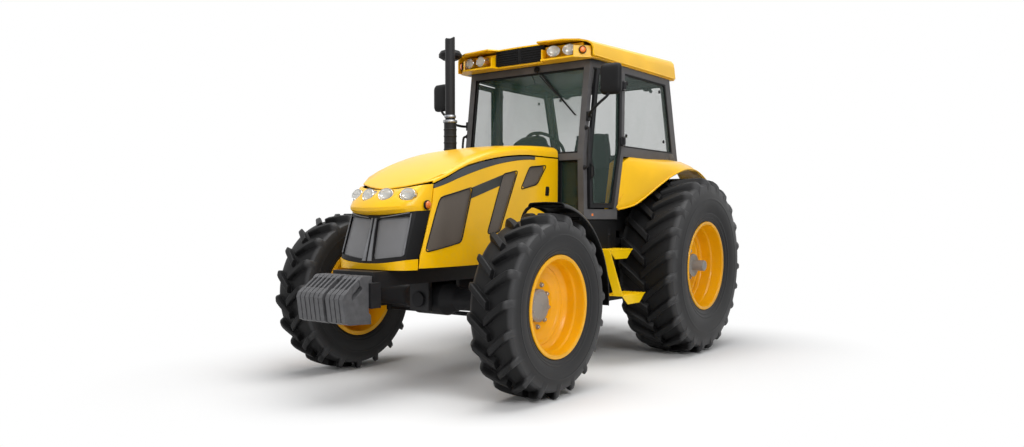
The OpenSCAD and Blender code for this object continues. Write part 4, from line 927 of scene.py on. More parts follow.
FRONT_SCREEN = [(2.845, 1.141), (3.225, 1.074), (3.065, 1.479), (2.705, 1.562)]
MIDDLE_SCREEN = [(2.360, 1.210), (2.525, 1.197), (2.312, 1.677), (2.106, 1.715)]
REAR_SCREEN = [(1.825, 1.608), (2.069, 1.559), (1.938, 1.752), (1.680, 1.777)]


def plate(shape, outline, low, high, chamfer=0.0015):
    """Thin plate on the hood's side with a chamfered rim, from a side outline of (x, z)."""
    inner = drawn_in(outline, chamfer * 2)
    shape.loft([[at(p[0], low, p[1]) for p in outline], [at(p[0], high - chamfer, p[1]) for p in outline],
                [at(p[0], high, p[1]) for p in inner]])


def hood_trim():
    """Slate band between the screens, latch at the hood's rear edge, rubber rims of the screens."""
    band = Shape()
    plate(band, [(2.712, 1.559), (2.316, 1.672), (2.352, 1.583), (2.737, 1.470)], 0.4135, 0.4172)
    band.mirrored()
    band.make("hood_band", SLATE_PAINT)
    latch = Shape()
    base = rounded([(1.645, 1.515), (1.700, 1.515), (1.690, 1.595), (1.640, 1.595)], 0.012)
    plate(latch, base, 0.412, 0.422, 0.003)
    latch.tube([at(1.668, 0.421, 1.535), at(1.666, 0.430, 1.545), at(1.664, 0.430, 1.575),
                at(1.663, 0.421, 1.585)], 0.005, 8)
    latch.mirrored()
    latch.make("hood_latches", PLASTIC)
    rims = Shape()
    for window in (FRONT_SCREEN, MIDDLE_SCREEN, REAR_SCREEN):
        gasket(rims, window, lambda x, z: at(x, side_skin_y(x, z) + 0.0005, z), 0.005, 0.036, 0.02)
    rims.mirrored()
    rims.make("screen_rims", PLASTIC, smooth=60)


hood_trim()


# Cab fittings

def front_pane_x(z):
    """Where the raked windscreen stands at a height."""
    return mix(1.450, 1.342, (z - 1.890) / 0.810)


def rear_pane_x(z):
    """Where the raked rear window stands at a height."""
    return mix(-0.215, 0.008, (z - 1.885) / 0.815)


HINGE = (0.912, 0.751)
DOOR_TURN = math.atan(63 / 562)


def on_door(u, out, z):
    """Point of the closed left door: along it from the hinge, out from the hinge line, and height."""
    c, s = math.cos(DOOR_TURN), math.sin(DOOR_TURN)
    return at(HINGE[0] + u * c + out * s, HINGE[1] - u * s + out * c, z)


def inset(points, gap):
    """Convex outline, anticlockwise, moved in by a gap."""
    lines = []
    for i, point in enumerate(points):
        a, b = Vector(point), Vector(points[(i + 1) % len(points)])
        d = (b - a).normalized()
        lines.append((a + Vector((-d.y, d.x)) * gap, d))
    out = []
    for i in range(len(lines)):
        (a, d), (b, e) = lines[i - 1], lines[i]
        t = ((b - a).x * e.y - (b - a).y * e.x) / (d.x * e.y - d.y * e.x)
        out.append(tuple(a + d * t))
    return out


DOOR_OUTLINE = [(0.1352, 1.412), (0.4804, 1.412), (0.5001, 1.890), (0.4011, 2.628), (0.0171, 2.628),
                (0.0171, 1.950)]


CLIP = [(0.0, 0.0), (0.0, 0.016), (0.006, 0.017), (0.010, 0.013), (0.012, 0.0)]


def cab_seals():
    """Rubber sections round every pane, clips that hold the panes, seal and handle of each door."""
    seals, clips = Shape(), Shape()
    gasket(seals, rectangle(-0.597, 1.896, 0.597, 2.634),
           lambda y, z: at(front_pane_x(z) + 0.003, y, z), 0.010)
    gasket(seals, rectangle(-0.660, 1.981, 0.660, 2.634),
           lambda y, z: at(rear_pane_x(z) - 0.008, y, z), 0.010)
    quarter = [(-0.157, 1.978), (0.853, 1.978), (0.853, 2.634), (0.026, 2.634)]
    for hand in (1, -1):
        gasket(seals, rectangle(0.418, 1.357, 0.596, 1.824),
               lambda y, z: at(1.446, hand * y, z), 0.007, 0.012)
        gasket(seals, quarter, lambda x, z: at(x, hand * 0.711, z), 0.010)
        for x, z in ((0.13, 2.56), (0.02, 2.08), (0.80, 2.56), (0.80, 2.08)):
            clips.revolve(CLIP, at(x, hand * 0.7095, z), (0, hand, 0), 20)
    for y, z in ((-0.54, 2.57), (0.54, 2.57), (-0.54, 1.95), (0.54, 1.95)):
        clips.revolve(CLIP, at(rear_pane_x(z + 0.03) - 0.007, y, z + 0.03), (-1, 0, 0), 20)
    seals.make("cab_seals", SEAL, smooth=60)
    clips.make("pane_clips", SEAL, smooth=40)
    for side, hand in SIDES.items():
        door = Shape()
        for out in (-0.016, -0.040):
            gasket(door, inset(DOOR_OUTLINE, 0.036), lambda u, z: on_door(u, out, z), 0.006, 0.022)
        door.block(on_door(0.455, -0.016, 1.66), on_door(0.485, -0.004, 1.80))
        grip = [on_door(0.470, out, z) for out, z in ((-0.010, 1.67), (0.012, 1.69), (0.014, 1.73),
                                                      (0.012, 1.77), (-0.010, 1.79))]
        door.tube(grip, 0.007, 10)
        if hand < 0:
            door.points = [Vector((p.x, -p.y, p.z)) for p in door.points]
        door.make(f"{side}_door_seal", SEAL, f"door_{side}", smooth=60)


cab_seals()


def cab_rails():
    """Grab handles on the front posts, wiper, and hinge bolts."""
    rails, wiper, bolts = Shape(), Shape(), Shape()
    rails.tube(smooth_path([at(1.440, 0.655, 2.105), at(1.444, 0.690, 2.103), at(1.450, 0.704, 2.075),
                            at(1.462, 0.706, 1.930), at(1.470, 0.704, 1.790), at(1.468, 0.690, 1.762),
                            at(1.460, 0.655, 1.760)]), 0.011, 12)
    for x, z in ((1.440, 2.105), (1.460, 1.760)):
        rails.revolve([(0.0, 0.0), (0.0, 0.022), (0.006, 0.021), (0.008, 0.012)],
                      at(x, 0.661, z), (0, 1, 0), 20)
    rails.mirrored()
    rails.make("grab_handles", STACK_PAINT, smooth=50)
    wiper.revolve([(-0.02, 0.0), (-0.02, 0.026), (0.014, 0.026), (0.020, 0.020), (0.024, 0.0)],
                  at(1.376, 0.105, 2.668), (1, 0, 0), 24)
    wiper.tube(smooth_path([at(1.392, 0.105, 2.668), at(1.412, 0.130, 2.640), at(1.428, 0.240, 2.530),
                            at(1.430, 0.345, 2.425)]), 0.005, 8)
    rings = []
    for i in range(17):
        t = i / 16
        y, z = mix(0.150, 0.545, t), mix(2.625, 2.225, t)
        bow = 0.010 * math.sin(math.pi * t)
        x = front_pane_x(z)
        rings.append([at(x + a, y + b * 0.7, z + b * 0.7) for a, b in (
            (0.004, -0.003), (0.004, 0.003), (0.014 + bow, 0.007), (0.020 + bow, 0.007), (0.020 + bow, -0.007),
            (0.014 + bow, -0.007))])
    wiper.loft(rings)
    wiper.make("wiper", SEAL, smooth=40)
    for z in (1.99, 2.49):
        for dz in (0.014, 0.046):
            bolt(bolts, at(0.872, 0.7255, z + dz), (0, 1, 0), 0.010, 0.012)
    bolts.mirrored()
    bolts.make("hinge_bolts", BOLT_STEEL)


cab_rails()


def cab_inside():
    """Binnacle over the dash, panels behind the low front panes, side consoles with levers, inside mirror."""
    trim = Shape()
    rings = []
    for i in range(9):
        t = i / 8
        x = mix(1.275, 1.415, t)
        wide = 0.165 - 0.02 * t * t
        high = 1.985 + 0.100 * (1 - 0.55 * t ** 1.6)
        rings.append([at(x, wide * math.cos(a) * abs(math.cos(a)) ** -0.4,
                         1.93 + (high - 1.93) * abs(math.sin(a)) ** 0.6)
                      for a in (math.pi * k / 24 + 0.0001 for k in range(25))])
    trim.loft(rings)
    for hand in (1, -1):
        trim.block(at(1.424, hand * 0.505 - 0.095, 1.352), at(1.431, hand * 0.505 + 0.095, 1.828))
        trim.block(at(0.10, hand * 0.42 - 0.09, 1.352), at(0.72, hand * 0.42 + 0.09, 1.80))
    trim.make("cab_trim", PLASTIC, bevel=0.012, smooth=40)
    levers = Shape()
    for x, y, lean in ((0.60, -0.40, 0.03), (0.54, -0.44, 0.02), (0.46, -0.40, 0.0), (0.64, -0.45, 0.04)):
        stem = [at(x, y, 1.795), at(x + lean, y, 1.87), at(x + lean * 1.6, y, 1.93)]
        levers.tube(smooth_path(stem), 0.006, 8)
        levers.revolve([(0.0, 0.006), (0.006, 0.016), (0.024, 0.018), (0.034, 0.012), (0.038, 0.0)],
                       at(x + lean * 1.6, y, 1.925), (lean, 0, 0.1), 16)
    levers.tube([at(1.322, 0.0, 2.66), at(1.27, 0.0, 2.60), at(1.25, 0.0, 2.56)], 0.006, 8)
    rings = [[at(1.25 + a, 0.0 + w * math.cos(t), 2.525 + h * math.sin(t)) for t in
              (2 * math.pi * k / 28 for k in range(28))]
             for a, w, h in ((0.000, 0.100, 0.034), (0.008, 0.108, 0.040), (0.018, 0.100, 0.034),
                             (0.026, 0.07, 0.02))]
    levers.loft(rings)
    levers.make("cab_levers", SEAL, smooth=45)


cab_inside()


def mirrors():
    """Outside mirrors: domed shells with silvered glass, on bent tubes clamped to the front posts."""
    arms, shells, glass = Shape(), Shape(), Shape()
    arms.tube(smooth_path([at(1.412, 0.655, 2.205), at(1.425, 0.700, 2.205), at(1.480, 0.722, 2.208),
                           at(1.522, 0.760, 2.228), at(1.526, 0.850, 2.300), at(1.518, 0.915, 2.352),
                           at(1.508, 0.938, 2.420), at(1.508, 0.940, 2.49)]), 0.012, 12)
    arms.block(at(1.388, 0.660, 2.165), at(1.434, 0.684, 2.245))
    turn = math.radians(8)
    c, s = math.cos(turn), math.sin(turn)
    outline = rounded(rectangle(-0.092, -0.130, 0.092, 0.130), 0.046, 7)

    def ring(depth, share):
        return [at(1.510 + depth * c - y * share * s, 0.940 + depth * s + y * share * c, 2.490 + z * share)
                for y, z in outline]
    shells.loft([ring(-0.022, 0.93), ring(-0.028, 0.95), ring(-0.028, 0.985), ring(-0.020, 1.0),
                 ring(0.002, 0.985), ring(0.014, 0.90), ring(0.020, 0.74), ring(0.022, 0.5)])
    glass.loft([ring(-0.0225, 0.925), ring(-0.0245, 0.92)])
    for shape in (arms, shells, glass):
        shape.mirrored()
    arms.make("mirror_arms", SEAL, smooth=45, bevel=0.002)
    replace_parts(shells.make("mirror_shells", PLASTIC, smooth=40), "mirrors")
    glass.make("mirror_glass", MIRROR_GLASS)


mirrors()


def post_louvres():
    """Slanted pressings at the foot of each rear post, and amber reflectors on the sills."""
    ribs, marks = Shape(), Shape()
    for i in range(4):
        x = -0.215 + i * 0.028
        rings = [[at(x + t * 0.050 + dx, 0.7245 + out, mix(1.895, 1.965, t)) for dx, out in (
            (-0.006, 0.0), (-0.003, 0.005), (0.003, 0.005), (0.006, 0.0))] for t in (0.0, 0.5, 1.0)]
        ribs.loft(rings)
    ribs.mirrored()
    ribs.make("post_louvres", ALLOY)
    for x, y, z in ((1.33, 0.672, 1.350), (1.08, 0.702, 1.350)):
        rings = [[at(x + w * a, y + out - w * a * 0.112, z + h * b) for a, b in rectangle(-1, -1, 1, 1)]
                 for w, h, out in ((0.026, 0.014, 0.0), (0.026, 0.014, 0.004), (0.022, 0.010, 0.007))]
        marks.loft(rings)
    marks.mirrored()
    marks.make("sill_reflectors", AMBER_LENS)


post_louvres()


# Guards

GUARD_RADIUS = 0.755
GUARD_BACK, GUARD_FRONT, GUARD_STEPS = -94.0, -3.0, 48


def mudguard():
    """Steered guard behind the left front wheel: rolled shell on two bent tubes from the knuckle."""
    shell, stay = Shape(), Shape()
    hub = at(WHEELBASE, FRONT_WHEEL_Y, FRONT_WHEEL_RADIUS)
    section = [(-0.140, -0.026), (-0.134, -0.012), (-0.122, -0.004), (-0.08, 0.0), (0.0, 0.003), (0.10, 0.001),
               (0.138, -0.004), (0.153, -0.012), (0.162, -0.024), (0.165, -0.034)]
    rings = []
    for i in range(GUARD_STEPS + 1):
        turn = math.radians(mix(GUARD_BACK, GUARD_FRONT, i / GUARD_STEPS))
        skew = math.radians(2.0) if i == GUARD_STEPS else 0.0
        ring = []
        for y, drop, thick in [(y, d, 0.006) for y, d in section] + [(y, d, 0.0) for y, d in reversed(section)]:
            a = turn - skew * (y + 0.14) / 0.3
            r = GUARD_RADIUS + drop + thick
            ring.append(hub + Vector((math.sin(a), 0, math.cos(a))) * r + Vector((0, y, 0)))
        rings.append(ring)
    shell.loft(rings)
    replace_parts(shell.make("mudguard_shell", GUARD_PLASTIC, "knuckle_left", smooth=50), "front_mudguard")
    for x, high in ((2.560, 1.412), (2.330, 1.318)):
        stay.tube(smooth_path([at(2.650, 0.758, 0.800), at(mix(2.650, x, 0.4), 0.766, 1.02),
                               at(mix(2.650, x, 0.9), 0.790, high - 0.09), at(x, 0.850, high - 0.006),
                               at(x, 0.910, high), at(x, 1.150, high)]), 0.013, 12)
    stay.make("mudguard_stays", CHASSIS_PAINT, "knuckle_left", smooth=50)


mudguard()

FENDER_EDGE = [(0.975, 0.735, 1.400), (0.800, 0.800, 1.440), (0.655, 0.850, 1.520), (0.500, 0.900, 1.620),
               (0.330, 0.940, 1.712), (0.180, 0.965, 1.768), (0.020, 0.975, 1.800), (-0.180, 0.980, 1.790),
               (-0.400, 0.980, 1.716), (-0.600, 0.980, 1.590), (-0.760, 0.980, 1.410), (-0.860, 0.980, 1.240)]


def fender_lips():
    """Rolled edge along each rear fender."""
    lips = Shape()
    lips.tube(smooth_path([at(*p) for p in FENDER_EDGE], 6), 0.008, 10)
    lips.mirrored()
    lips.make("fender_lips", PAINT, smooth=60)


fender_lips()


def shade_panels():
    """Dark panels in the gaps under the sills and ahead of the rear wheels, painted shade where the tractor
    shows only shadow.
    """
    panels = Shape()
    # painted shade: black blocks fill gaps that show only shadow
    panels.block(at(0.935, 0.600, 1.255), at(1.440, 0.640, 1.325))
    panels.block(at(0.780, 0.585, 0.980), at(0.945, 0.606, 1.330))
    panels.block(at(0.800, 0.606, 1.300), at(0.960, 0.640, 1.330))
    panels.block(at(0.560, 0.585, 1.200), at(0.790, 0.606, 1.333))
    panels.mirrored()
    panels.make("sill_skirts", PLASTIC, bevel=0.004)


shade_panels()


# Under the hood lid

def engine_top():
    """Ribbed rocker cover with its bolts and filler cap, and the air pipe beside it."""
    cover, pipe, cap, bolts = Shape(), Shape(), Shape(), Shape()
    edge = rounded(rectangle(1.74, -0.120, 2.46, 0.120), 0.040)

    def ring(z, inset_by):
        return [at(*p, z) for p in drawn_in(edge, inset_by)]
    cover.loft([ring(1.629, 0.0), ring(1.642, 0.0), ring(1.644, 0.014), ring(1.680, 0.020), ring(1.692, 0.036)])
    for k in range(9):
        x = mix(1.82, 2.38, k / 8)
        fin = ((-0.012, 1.688), (-0.007, 1.699), (0.007, 1.699), (0.012, 1.688))
        cover.loft([[at(x + dx, y, z) for dx, z in fin] for y in (-0.070, 0.0, 0.070)])
    for x in (1.80, 1.95, 2.10, 2.25, 2.40):
        for y in (-0.112, 0.112):
            bolt(bolts, at(x, y, 1.641), (0, 0, 1), 0.008, 0.010)
    path = smooth_path([at(1.62, -0.200, 1.660), at(1.80, -0.205, 1.668), at(2.10, -0.205, 1.668),
                        at(2.40, -0.190, 1.664), at(2.58, -0.120, 1.650), at(2.66, -0.060, 1.625)], 40)
    pipe.tube(path, 0.036, 20)
    cap.revolve([(0.0, 0.0), (0.0, 0.024), (0.010, 0.030), (0.024, 0.030), (0.030, 0.026), (0.031, 0.0)],
                at(1.772, 0.0, 1.684), (0, 0, 1), 24)
    cover.make("rocker_cover", SUPPORT_IRON, smooth=35)
    pipe.make("air_pipe", SEAL, smooth=60)
    cap.make("oil_filler_cap", STEP_PAINT, smooth=35)
    bolts.make("rocker_bolts", BOLT_STEEL, smooth=40)


engine_top()


# Roof and stack

ROOF_EDGE_Z = 2.7165


def roof_trim():
    """Rolled lower edge of the roof, beads on its top, ribs of the dark panel between the lamp pods."""
    lip, ribs = Shape(), Shape()
    for hand in (1, -1):
        lip.tube([at(mix(1.462, -0.130, i / 12), hand * 0.751, ROOF_EDGE_Z) for i in range(13)], 0.007, 8)
    lip.tube([at(-0.1485, mix(-0.735, 0.735, i / 12), ROOF_EDGE_Z) for i in range(13)], 0.007, 8)
    lip.make("roof_lip", PAINT, smooth=60)
    beads, mesh = Shape(), NODES["cab_roof"].data
    roof = BVHTree.FromPolygons([v.co for v in mesh.vertices], polygons(mesh))
    for y in (-0.45, -0.15, 0.15, 0.45):
        path = []
        for k in range(25):
            above = at(mix(1.20, -0.02, k / 24), y, 3.2)
            spot = roof.ray_cast(above, Vector((0, 0, -1)))[0]
            path.append(spot - Vector((0, 0, 0.016 if k in (0, 24) else 0.008)))
        beads.tube(path, 0.018, 12)
    beads.make("roof_beads", PAINT, smooth=60)
    for low, high in ((-0.258, -0.008), (0.008, 0.258)):
        gasket(ribs, rectangle(low, 2.726, high, 2.842), lambda y, z: at(1.505, y, z), 0.0045, 0.014, 0.03)
        for k in range(5):
            z = mix(2.742, 2.826, k / 4)
            blade = ((0.0, -0.006), (0.008, -0.004), (0.009, 0.0), (0.0, 0.005))
            ribs.loft([[at(1.503 + a, y, z + b) for a, b in blade]
                       for y in (low + 0.012, (low + high) / 2, high - 0.012)])
    ribs.make("roof_panel_ribs", SEAL, smooth=40)


roof_trim()


def stack_trim():
    """Clamps of the exhaust stack and the ribs round its silencer."""
    clamps, guard = Shape(), Shape()
    foot = at(1.862, -0.522, 0.0)
    for z, r in ((2.190, 0.0572), (1.560, 0.0572), (2.235, 0.0452)):
        clamps.revolve([(0.0, r), (0.0, r + 0.006), (0.004, r + 0.008), (0.018, r + 0.008), (0.022, r + 0.006),
                        (0.022, r)], foot + Vector((0, 0, z)), (0, 0, 1), 40)
        clamps.block(foot + Vector((0.048, -0.010, z + 0.001)), foot + Vector((r + 0.026, 0.010, z + 0.021)))
    for k in range(9):
        z = mix(1.640, 2.120, k / 8)
        guard.revolve([(0.0, 0.0570), (0.004, 0.0605), (0.012, 0.0610), (0.016, 0.0570)],
                      foot + Vector((0, 0, z)), (0, 0, 1), 40)
    clamps.make("stack_clamps", BOLT_STEEL, smooth=40)
    guard.make("stack_ribs", STACK_PAINT, smooth=50)


stack_trim()


# Rear

BACK_WALL_X = -0.2235


def rear_panel():
    """Pressed back of the cab, rear lamps in black housings, and work lamps under the roof."""
    panel, houses, reds, ambers, bowls, lenses = Shape(), Shape(), Shape(), Shape(), Shape(), Shape()

    def pressing(shape, low, high, foot, depth, corner):
        edge = rounded(rectangle(*low, *high), corner)
        inner = drawn_in(edge, depth)
        shape.loft([[at(foot, *p) for p in edge], [at(foot - depth * 0.7, *p) for p in edge],
                    [at(foot - depth, *p) for p in inner]])
    for k in range(4):
        z = mix(1.415, 1.640, k / 3)
        pressing(panel, (-0.520, z), (0.520, z + 0.040), BACK_WALL_X, 0.008, 0.018)
    for hand in (1, -1):
        y = hand * 0.470
        pressing(houses, (y - 0.085, 1.730), (y + 0.085, 1.830), BACK_WALL_X, 0.030, 0.020)
        inside, outside = sorted((y - hand * 0.075, y)), sorted((y, y + hand * 0.075))
        pressing(reds, (inside[0] + 0.002, 1.740), (inside[1] - 0.002, 1.820), -0.2530, 0.012, 0.014)
        pressing(ambers, (outside[0] + 0.002, 1.740), (outside[1] - 0.002, 1.820), -0.2530, 0.012, 0.014)
        spot, axis, oval = at(-0.070, hand * 0.480, 2.650), Vector((-1, 0, -0.25)).normalized(), (0.055, 0.042)
        houses.revolve([(-0.040, 0.0), (-0.040, 0.5), (-0.020, 0.9), (0.0, 1.0), (0.006, 1.0), (0.004, 0.93),
                        (-0.004, 0.92)], spot, axis, 36, oval)
        houses.block(at(-0.066, hand * 0.480 - 0.014, 2.680), at(-0.050, hand * 0.480 + 0.014, 2.702))
        bowls.revolve([(0.0, 0.92), (-0.012, 0.75), (-0.022, 0.35), (-0.022, 0.0)], spot, axis, 36, oval)
        lenses.revolve([(0.002, 0.93), (0.008, 0.6), (0.010, 0.2), (0.010, 0.0)], spot, axis, 36, oval)
    panel.make("cab_back_ribs", CHASSIS_PAINT, smooth=40)
    houses.make("rear_lamp_housings", SEAL, smooth=40)
    reds.make("rear_red_lenses", RED_LENS, smooth=40)
    ambers.make("rear_amber_lenses", AMBER_LENS, smooth=40)
    bowls.make("rear_lamp_bowls", CHROME, smooth=50)
    lenses.make("rear_lamp_lenses", LENS, smooth=50)


rear_panel()


def rear_couplers():
    """Hydraulic couplings with their dust caps, the shield over the power take-off, and housing bolts."""
    block, caps, shield, bolts = Shape(), Shape(), Shape(), Shape()
    for hand in (1, -1):
        for y in (0.085, 0.155):
            for z in (1.085, 1.150):
                spot = at(-0.388, hand * y, z)
                block.revolve([(0.0, 0.0), (0.0, 0.026), (0.018, 0.026), (0.020, 0.021), (0.050, 0.021),
                               (0.052, 0.018)], spot, (-1, 0, 0), 24)
                caps.revolve([(0.048, 0.0), (0.048, 0.024), (0.052, 0.026), (0.068, 0.026), (0.074, 0.020),
                              (0.075, 0.0)], spot, (-1, 0, 0), 24)
    arch = [(math.cos(t), math.sin(t)) for t in (math.pi * k / 16 for k in range(17))]
    section = [(0.118, -0.060)] + [(0.118 * c, 0.100 * s) for c, s in arch] + [(-0.118, -0.060)]
    rings = []
    for x in (-0.386, -0.47, -0.535):
        rings.append([at(x, y, 0.690 + z) for y, z in section]
                     + [at(x, y * 0.965, 0.690 + z * 0.965) for y, z in reversed(section)])
    shield.loft(rings)
    for y in (-0.17, 0.17):
        for z in (0.62, 0.76, 0.90, 1.02):
            bolt(bolts, at(-0.389, y, z), (-1, 0, 0), 0.011, 0.012)
    block.make("coupling_bodies", BOLT_STEEL, smooth=40)
    caps.make("coupling_caps", SEAL, smooth=40)
    shield.make("power_shaft_shield", PLASTIC, smooth=40)
    bolts.make("housing_bolts", BOLT_STEEL, smooth=40)


rear_couplers()


def tank_straps():
    """Straps on the side tanks, and the filler cap of the left one."""
    straps, cap = Shape(), Shape()
    for x in (1.06, 1.34):
        band = ((-0.022, -0.002), (-0.020, 0.003), (0.020, 0.003), (0.022, -0.002))
        straps.loft([[at(x + dx, 0.690 + out, z) for dx, out in band] for z in (0.775, 0.9, 1.1, 1.225)])
        bolt(straps, at(x, 0.692, 1.17), (0, 1, 0), 0.010, 0.012)
    straps.mirrored()
    straps.make("tank_straps", CHASSIS_PAINT, smooth=35)
    cap.revolve([(0.0, 0.0), (0.0, 0.040), (0.012, 0.040), (0.014, 0.050), (0.040, 0.050), (0.046, 0.044),
                 (0.048, 0.0)], at(1.415, 0.66, 1.18), Vector((0.25, 0.9, 0.35)), 28)
    cap.make("filler_cap", SEAL, smooth=40)


tank_straps()


# Steps

def step_treads():
    """Raised ribs and rolled front edges on the four treads."""
    ribs = Shape()
    for low, high, top in ((0.700, 0.850, 1.042), (0.795, 0.980, 0.650)):
        rows = 6
        for k in range(rows):
            y = mix(low + 0.008, high - 0.012, k / (rows - 1))
            for x in (0.95, 1.05, 1.15, 1.25):
                rings = [[at(x + dx * share, y + dy * share, top - 0.001 + dz) for dx, dy in (
                    (0.0, -0.007), (0.06, -0.007), (0.06, 0.007), (0.0, 0.007))]
                    for share, dz in ((1.0, 0.0), (1.0, 0.004), (0.94, 0.006))]
                ribs.loft(rings)
        ribs.tube([at(mix(0.918, 1.342, i / 10), high + 0.002, top - 0.004) for i in range(11)], 0.006, 10)
    ribs.mirrored()
    ribs.make("step_treads", STEP_PAINT, smooth=40)


step_treads()


# Seat

def applied(piece):
    """Replaces a piece's mesh by what its modifiers make of it."""
    seen = bpy.context.evaluated_depsgraph_get()
    mesh = bpy.data.meshes.new_from_object(piece.evaluated_get(seen))
    piece.modifiers.clear()
    piece.data = mesh


SWELL_FRAMES, SWELL_PRESSURE, SWELL_MESH = 20, 4.0, 0.006


def swell(piece, cap):
    """Blows a pad up under pressure; no point moves further than a cap."""
    even = piece.modifiers.new("even", "REMESH")
    even.mode, even.voxel_size = "VOXEL", SWELL_MESH
    applied(piece)
    start = [v.co.copy() for v in piece.data.vertices]
    cloth = piece.modifiers.new("pressure", "CLOTH")
    cloth.settings.use_pressure = True
    cloth.settings.uniform_pressure_force = SWELL_PRESSURE
    cloth.settings.effector_weights.gravity = 0.0
    cloth.point_cache.frame_start, cloth.point_cache.frame_end = 1, SWELL_FRAMES
    for frame_number in range(1, SWELL_FRAMES + 1):
        bpy.context.scene.frame_set(frame_number)
    applied(piece)
    bpy.context.scene.frame_set(1)
    for v, p in zip(piece.data.vertices, start):
        move = v.co - p
        v.co = p + move * min(1.0, cap / max(move.length, 1e-6))


def pad(name, low, high, crown, taper, cap):
    """Cushion: crowned faces, sides that pull in between the corners, narrower toward its far end."""
    low, high = Vector(low), Vector(high)
    middle, half = (low + high) / 2, (high - low) / 2
    tall = half.z > half.x
    shape = Shape()
    steps = 16
    grid = [2 * i / steps - 1 for i in range(steps + 1)]
    for axis in range(3):
        for sign in (1, -1):
            points = []
            for u in grid:
                for v in grid:
                    p = [0.0, 0.0, 0.0]
                    p[axis], p[(axis + 1) % 3], p[(axis + 2) % 3] = sign, u, v
                    length = math.sqrt(sum(c * c for c in p))
                    ball = [c / length for c in p]
                    soft = [mix(c, b * max(abs(e) for e in p), 0.16) for c, b, e in zip(p, ball, p)]
                    end = soft[2] if tall else soft[0]
                    narrow = 1 - taper * max(0.0, end) ** 2
                    place = [middle[k] + half[k] * soft[k] * (narrow if k == 1 else 1.0) for k in range(3)]
                    place[axis] -= sign * crown * (1 - (1 - u ** 4) * (1 - v ** 4))
                    points.append(place)
            n = steps + 1
            shape.add(points, [(i * n + j, (i + 1) * n + j, (i + 1) * n + j + 1, i * n + j + 1)
                               for i in range(steps) for j in range(steps)])
    piece = shape.make(name, FABRIC_COVER, None, smooth=180)
    swell(piece, cap)
    piece.data.polygons.foreach_set("use_smooth", [True] * len(piece.data.polygons))
    finer = piece.modifiers.new("finer", "SUBSURF")
    finer.levels = finer.render_levels = 1
    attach(piece, "chassis")
    return piece


def seat():
    """Squab and backrest, with the bolts of the hinge between them."""
    low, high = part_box("seat_cushions")
    front, top = low.x + 0.100, low.z + 0.110
    pad("seat_squab", (front + 0.008, low.y + 0.012, low.z + 0.004),
        (high.x - 0.012, high.y - 0.012, top - 0.012), 0.010, 0.06, 0.016)
    back = pad("seat_backrest", (low.x + 0.010, low.y + 0.022, low.z + 0.030),
               (front - 0.012, high.y - 0.022, high.z - 0.014), 0.010, 0.16, 0.016)
    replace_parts(back, "seat_cushions")
    ears = Shape()
    for hand in (1, -1):
        for x, z in ((low.x + 0.09, low.z + 0.05), (low.x + 0.16, low.z + 0.04)):
            bolt(ears, Vector((x, hand * (high.y - 0.010), z)), (0, hand, 0), 0.012, 0.010)
    ears.make("seat_hinge_bolts", BOLT_STEEL)


seat()


# Studio

def blend_shaders(tree, share, first, second, output):
    """Feeds an output with one shader turned towards another by a share."""
    node = tree.nodes.new("ShaderNodeMixShader")
    plug(tree, node.inputs[0], share)
    tree.links.new(first, node.inputs[1])
    tree.links.new(second, node.inputs[2])
    tree.links.new(node.outputs[0], output.inputs[0])


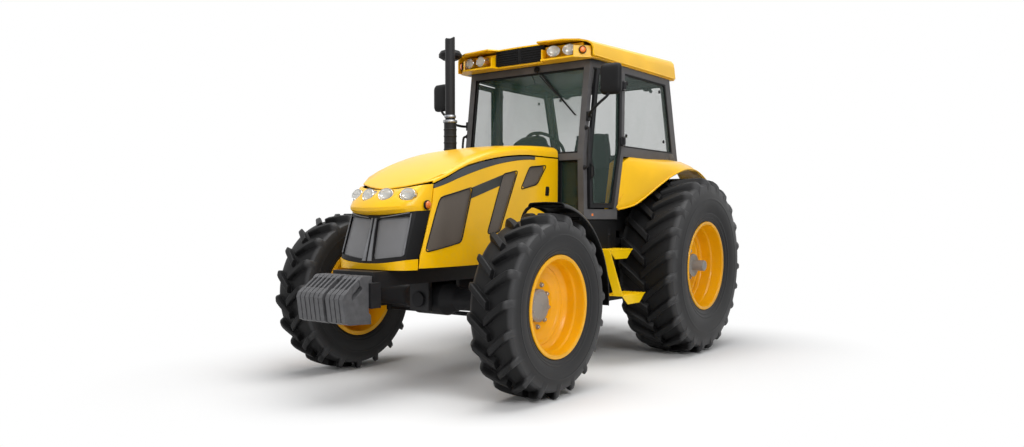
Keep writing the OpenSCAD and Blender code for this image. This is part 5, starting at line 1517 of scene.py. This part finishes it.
def studio():
    """Pale floor, soft overhead light, a broad light from the camera's side and a weak one across from it."""
    floor_mesh = bpy.data.meshes.new("floor")
    reach = 60.0
    floor_mesh.from_pydata([(-reach, -reach, 0), (reach, -reach, 0), (reach, reach, 0), (-reach, reach, 0)], [],
                           [(0, 1, 2, 3)])
    floor = bpy.data.objects.new("floor", floor_mesh)
    bpy.context.scene.collection.objects.link(floor)
    f = Finish("floor_paper")
    x, y, z = f.axes()
    aside = ((x * x).root() - 1.9).most(0.0)
    ahead = ((y * y).root() - 0.9).most(0.0)
    far = (aside * aside + ahead * ahead).root().step(0.3, 1.9)
    rays = f.node("ShaderNodeLightPath")
    glow = f.node("ShaderNodeEmission", None, {"Color": (1, 1, 1, 1), "Strength": 1.0})
    f.set(base_color=f.mix(srgb(246, 246, 246), srgb(240, 240, 240), f.noise(0.6)), roughness=0.9,
          specular_IOR_level=0.0)
    blend_shaders(f.tree, far * rays, f.shader.outputs[0], glow.socket, f.output)
    floor_mesh.materials.append(f.material)

    def soft_box(name, place, target, size, power, mirrored=True):
        light = bpy.data.lights.new(name, "AREA")
        light.shape = "RECTANGLE"
        light.size, light.size_y = size
        light.energy = power
        lamp = bpy.data.objects.new(name, light)
        lamp.location = place
        lamp.visible_glossy = mirrored
        lamp.rotation_euler = (Vector(target) - Vector(place)).to_track_quat("-Z", "Y").to_euler()
        bpy.context.scene.collection.objects.link(lamp)

    soft_box("overhead", (0.6, 0.8, 7.0), (0.2, 0.0, 1.0), (7.0, 5.5), 390)
    soft_box("front_left", (5.0, 7.0, 5.6), (0.4, 0.2, 1.0), (4.5, 3.0), 330)
    soft_box("front_right", (7.5, -4.5, 3.4), (0.6, 0.0, 1.2), (3.5, 2.5), 120, mirrored=False)

    world = bpy.data.worlds.new("studio")
    bpy.context.scene.world = world
    world.use_nodes = True
    tree = world.node_tree
    tree.nodes.clear()
    rays = tree.nodes.new("ShaderNodeLightPath")
    seen = Wire(tree, rays.outputs["Is Camera Ray"]).most(Wire(tree, rays.outputs["Is Transmission Ray"]))
    seen = seen.most(Wire(tree, rays.outputs["Is Glossy Ray"]))
    light, white = (tree.nodes.new("ShaderNodeBackground") for part in range(2))
    for part, strength in ((light, 0.3), (white, 1.0)):
        part.inputs["Color"].default_value = (1, 1, 1, 1)
        part.inputs["Strength"].default_value = strength
    blend_shaders(tree, seen, light.outputs[0], white.outputs[0], tree.nodes.new("ShaderNodeOutputWorld"))


studio()


# Camera: the photograph's place and lens, in its frame of 1024 by 447 pixels
PHOTO_WIDTH, PHOTO_HEIGHT = 1024, 447
FOCAL_PIXELS = 828.9
AXIS_PIXEL = (482.4, 274.0)
CAMERA_PLACE = at(7.731, 4.424, 1.334)
CAMERA_YAW, CAMERA_PITCH = math.radians(37.92), math.radians(3.96)


def camera():
    """The photograph's camera."""
    lens = bpy.data.cameras.new("photo_camera")
    lens.sensor_width = 36.0
    lens.lens = FOCAL_PIXELS / PHOTO_WIDTH * lens.sensor_width
    lens.shift_x = (PHOTO_WIDTH / 2 - AXIS_PIXEL[0]) / PHOTO_WIDTH
    lens.shift_y = (AXIS_PIXEL[1] - PHOTO_HEIGHT / 2) / PHOTO_WIDTH
    view = bpy.data.objects.new("photo_camera", lens)
    flat = math.cos(CAMERA_PITCH)
    look = -Vector((math.cos(CAMERA_YAW) * flat, math.sin(CAMERA_YAW) * flat, math.sin(CAMERA_PITCH)))
    view.location = CAMERA_PLACE
    view.rotation_euler = look.to_track_quat("-Z", "Y").to_euler()
    bpy.context.scene.collection.objects.link(view)
    bpy.context.scene.camera = view


camera()
bpy.context.scene.view_settings.view_transform = "Standard"
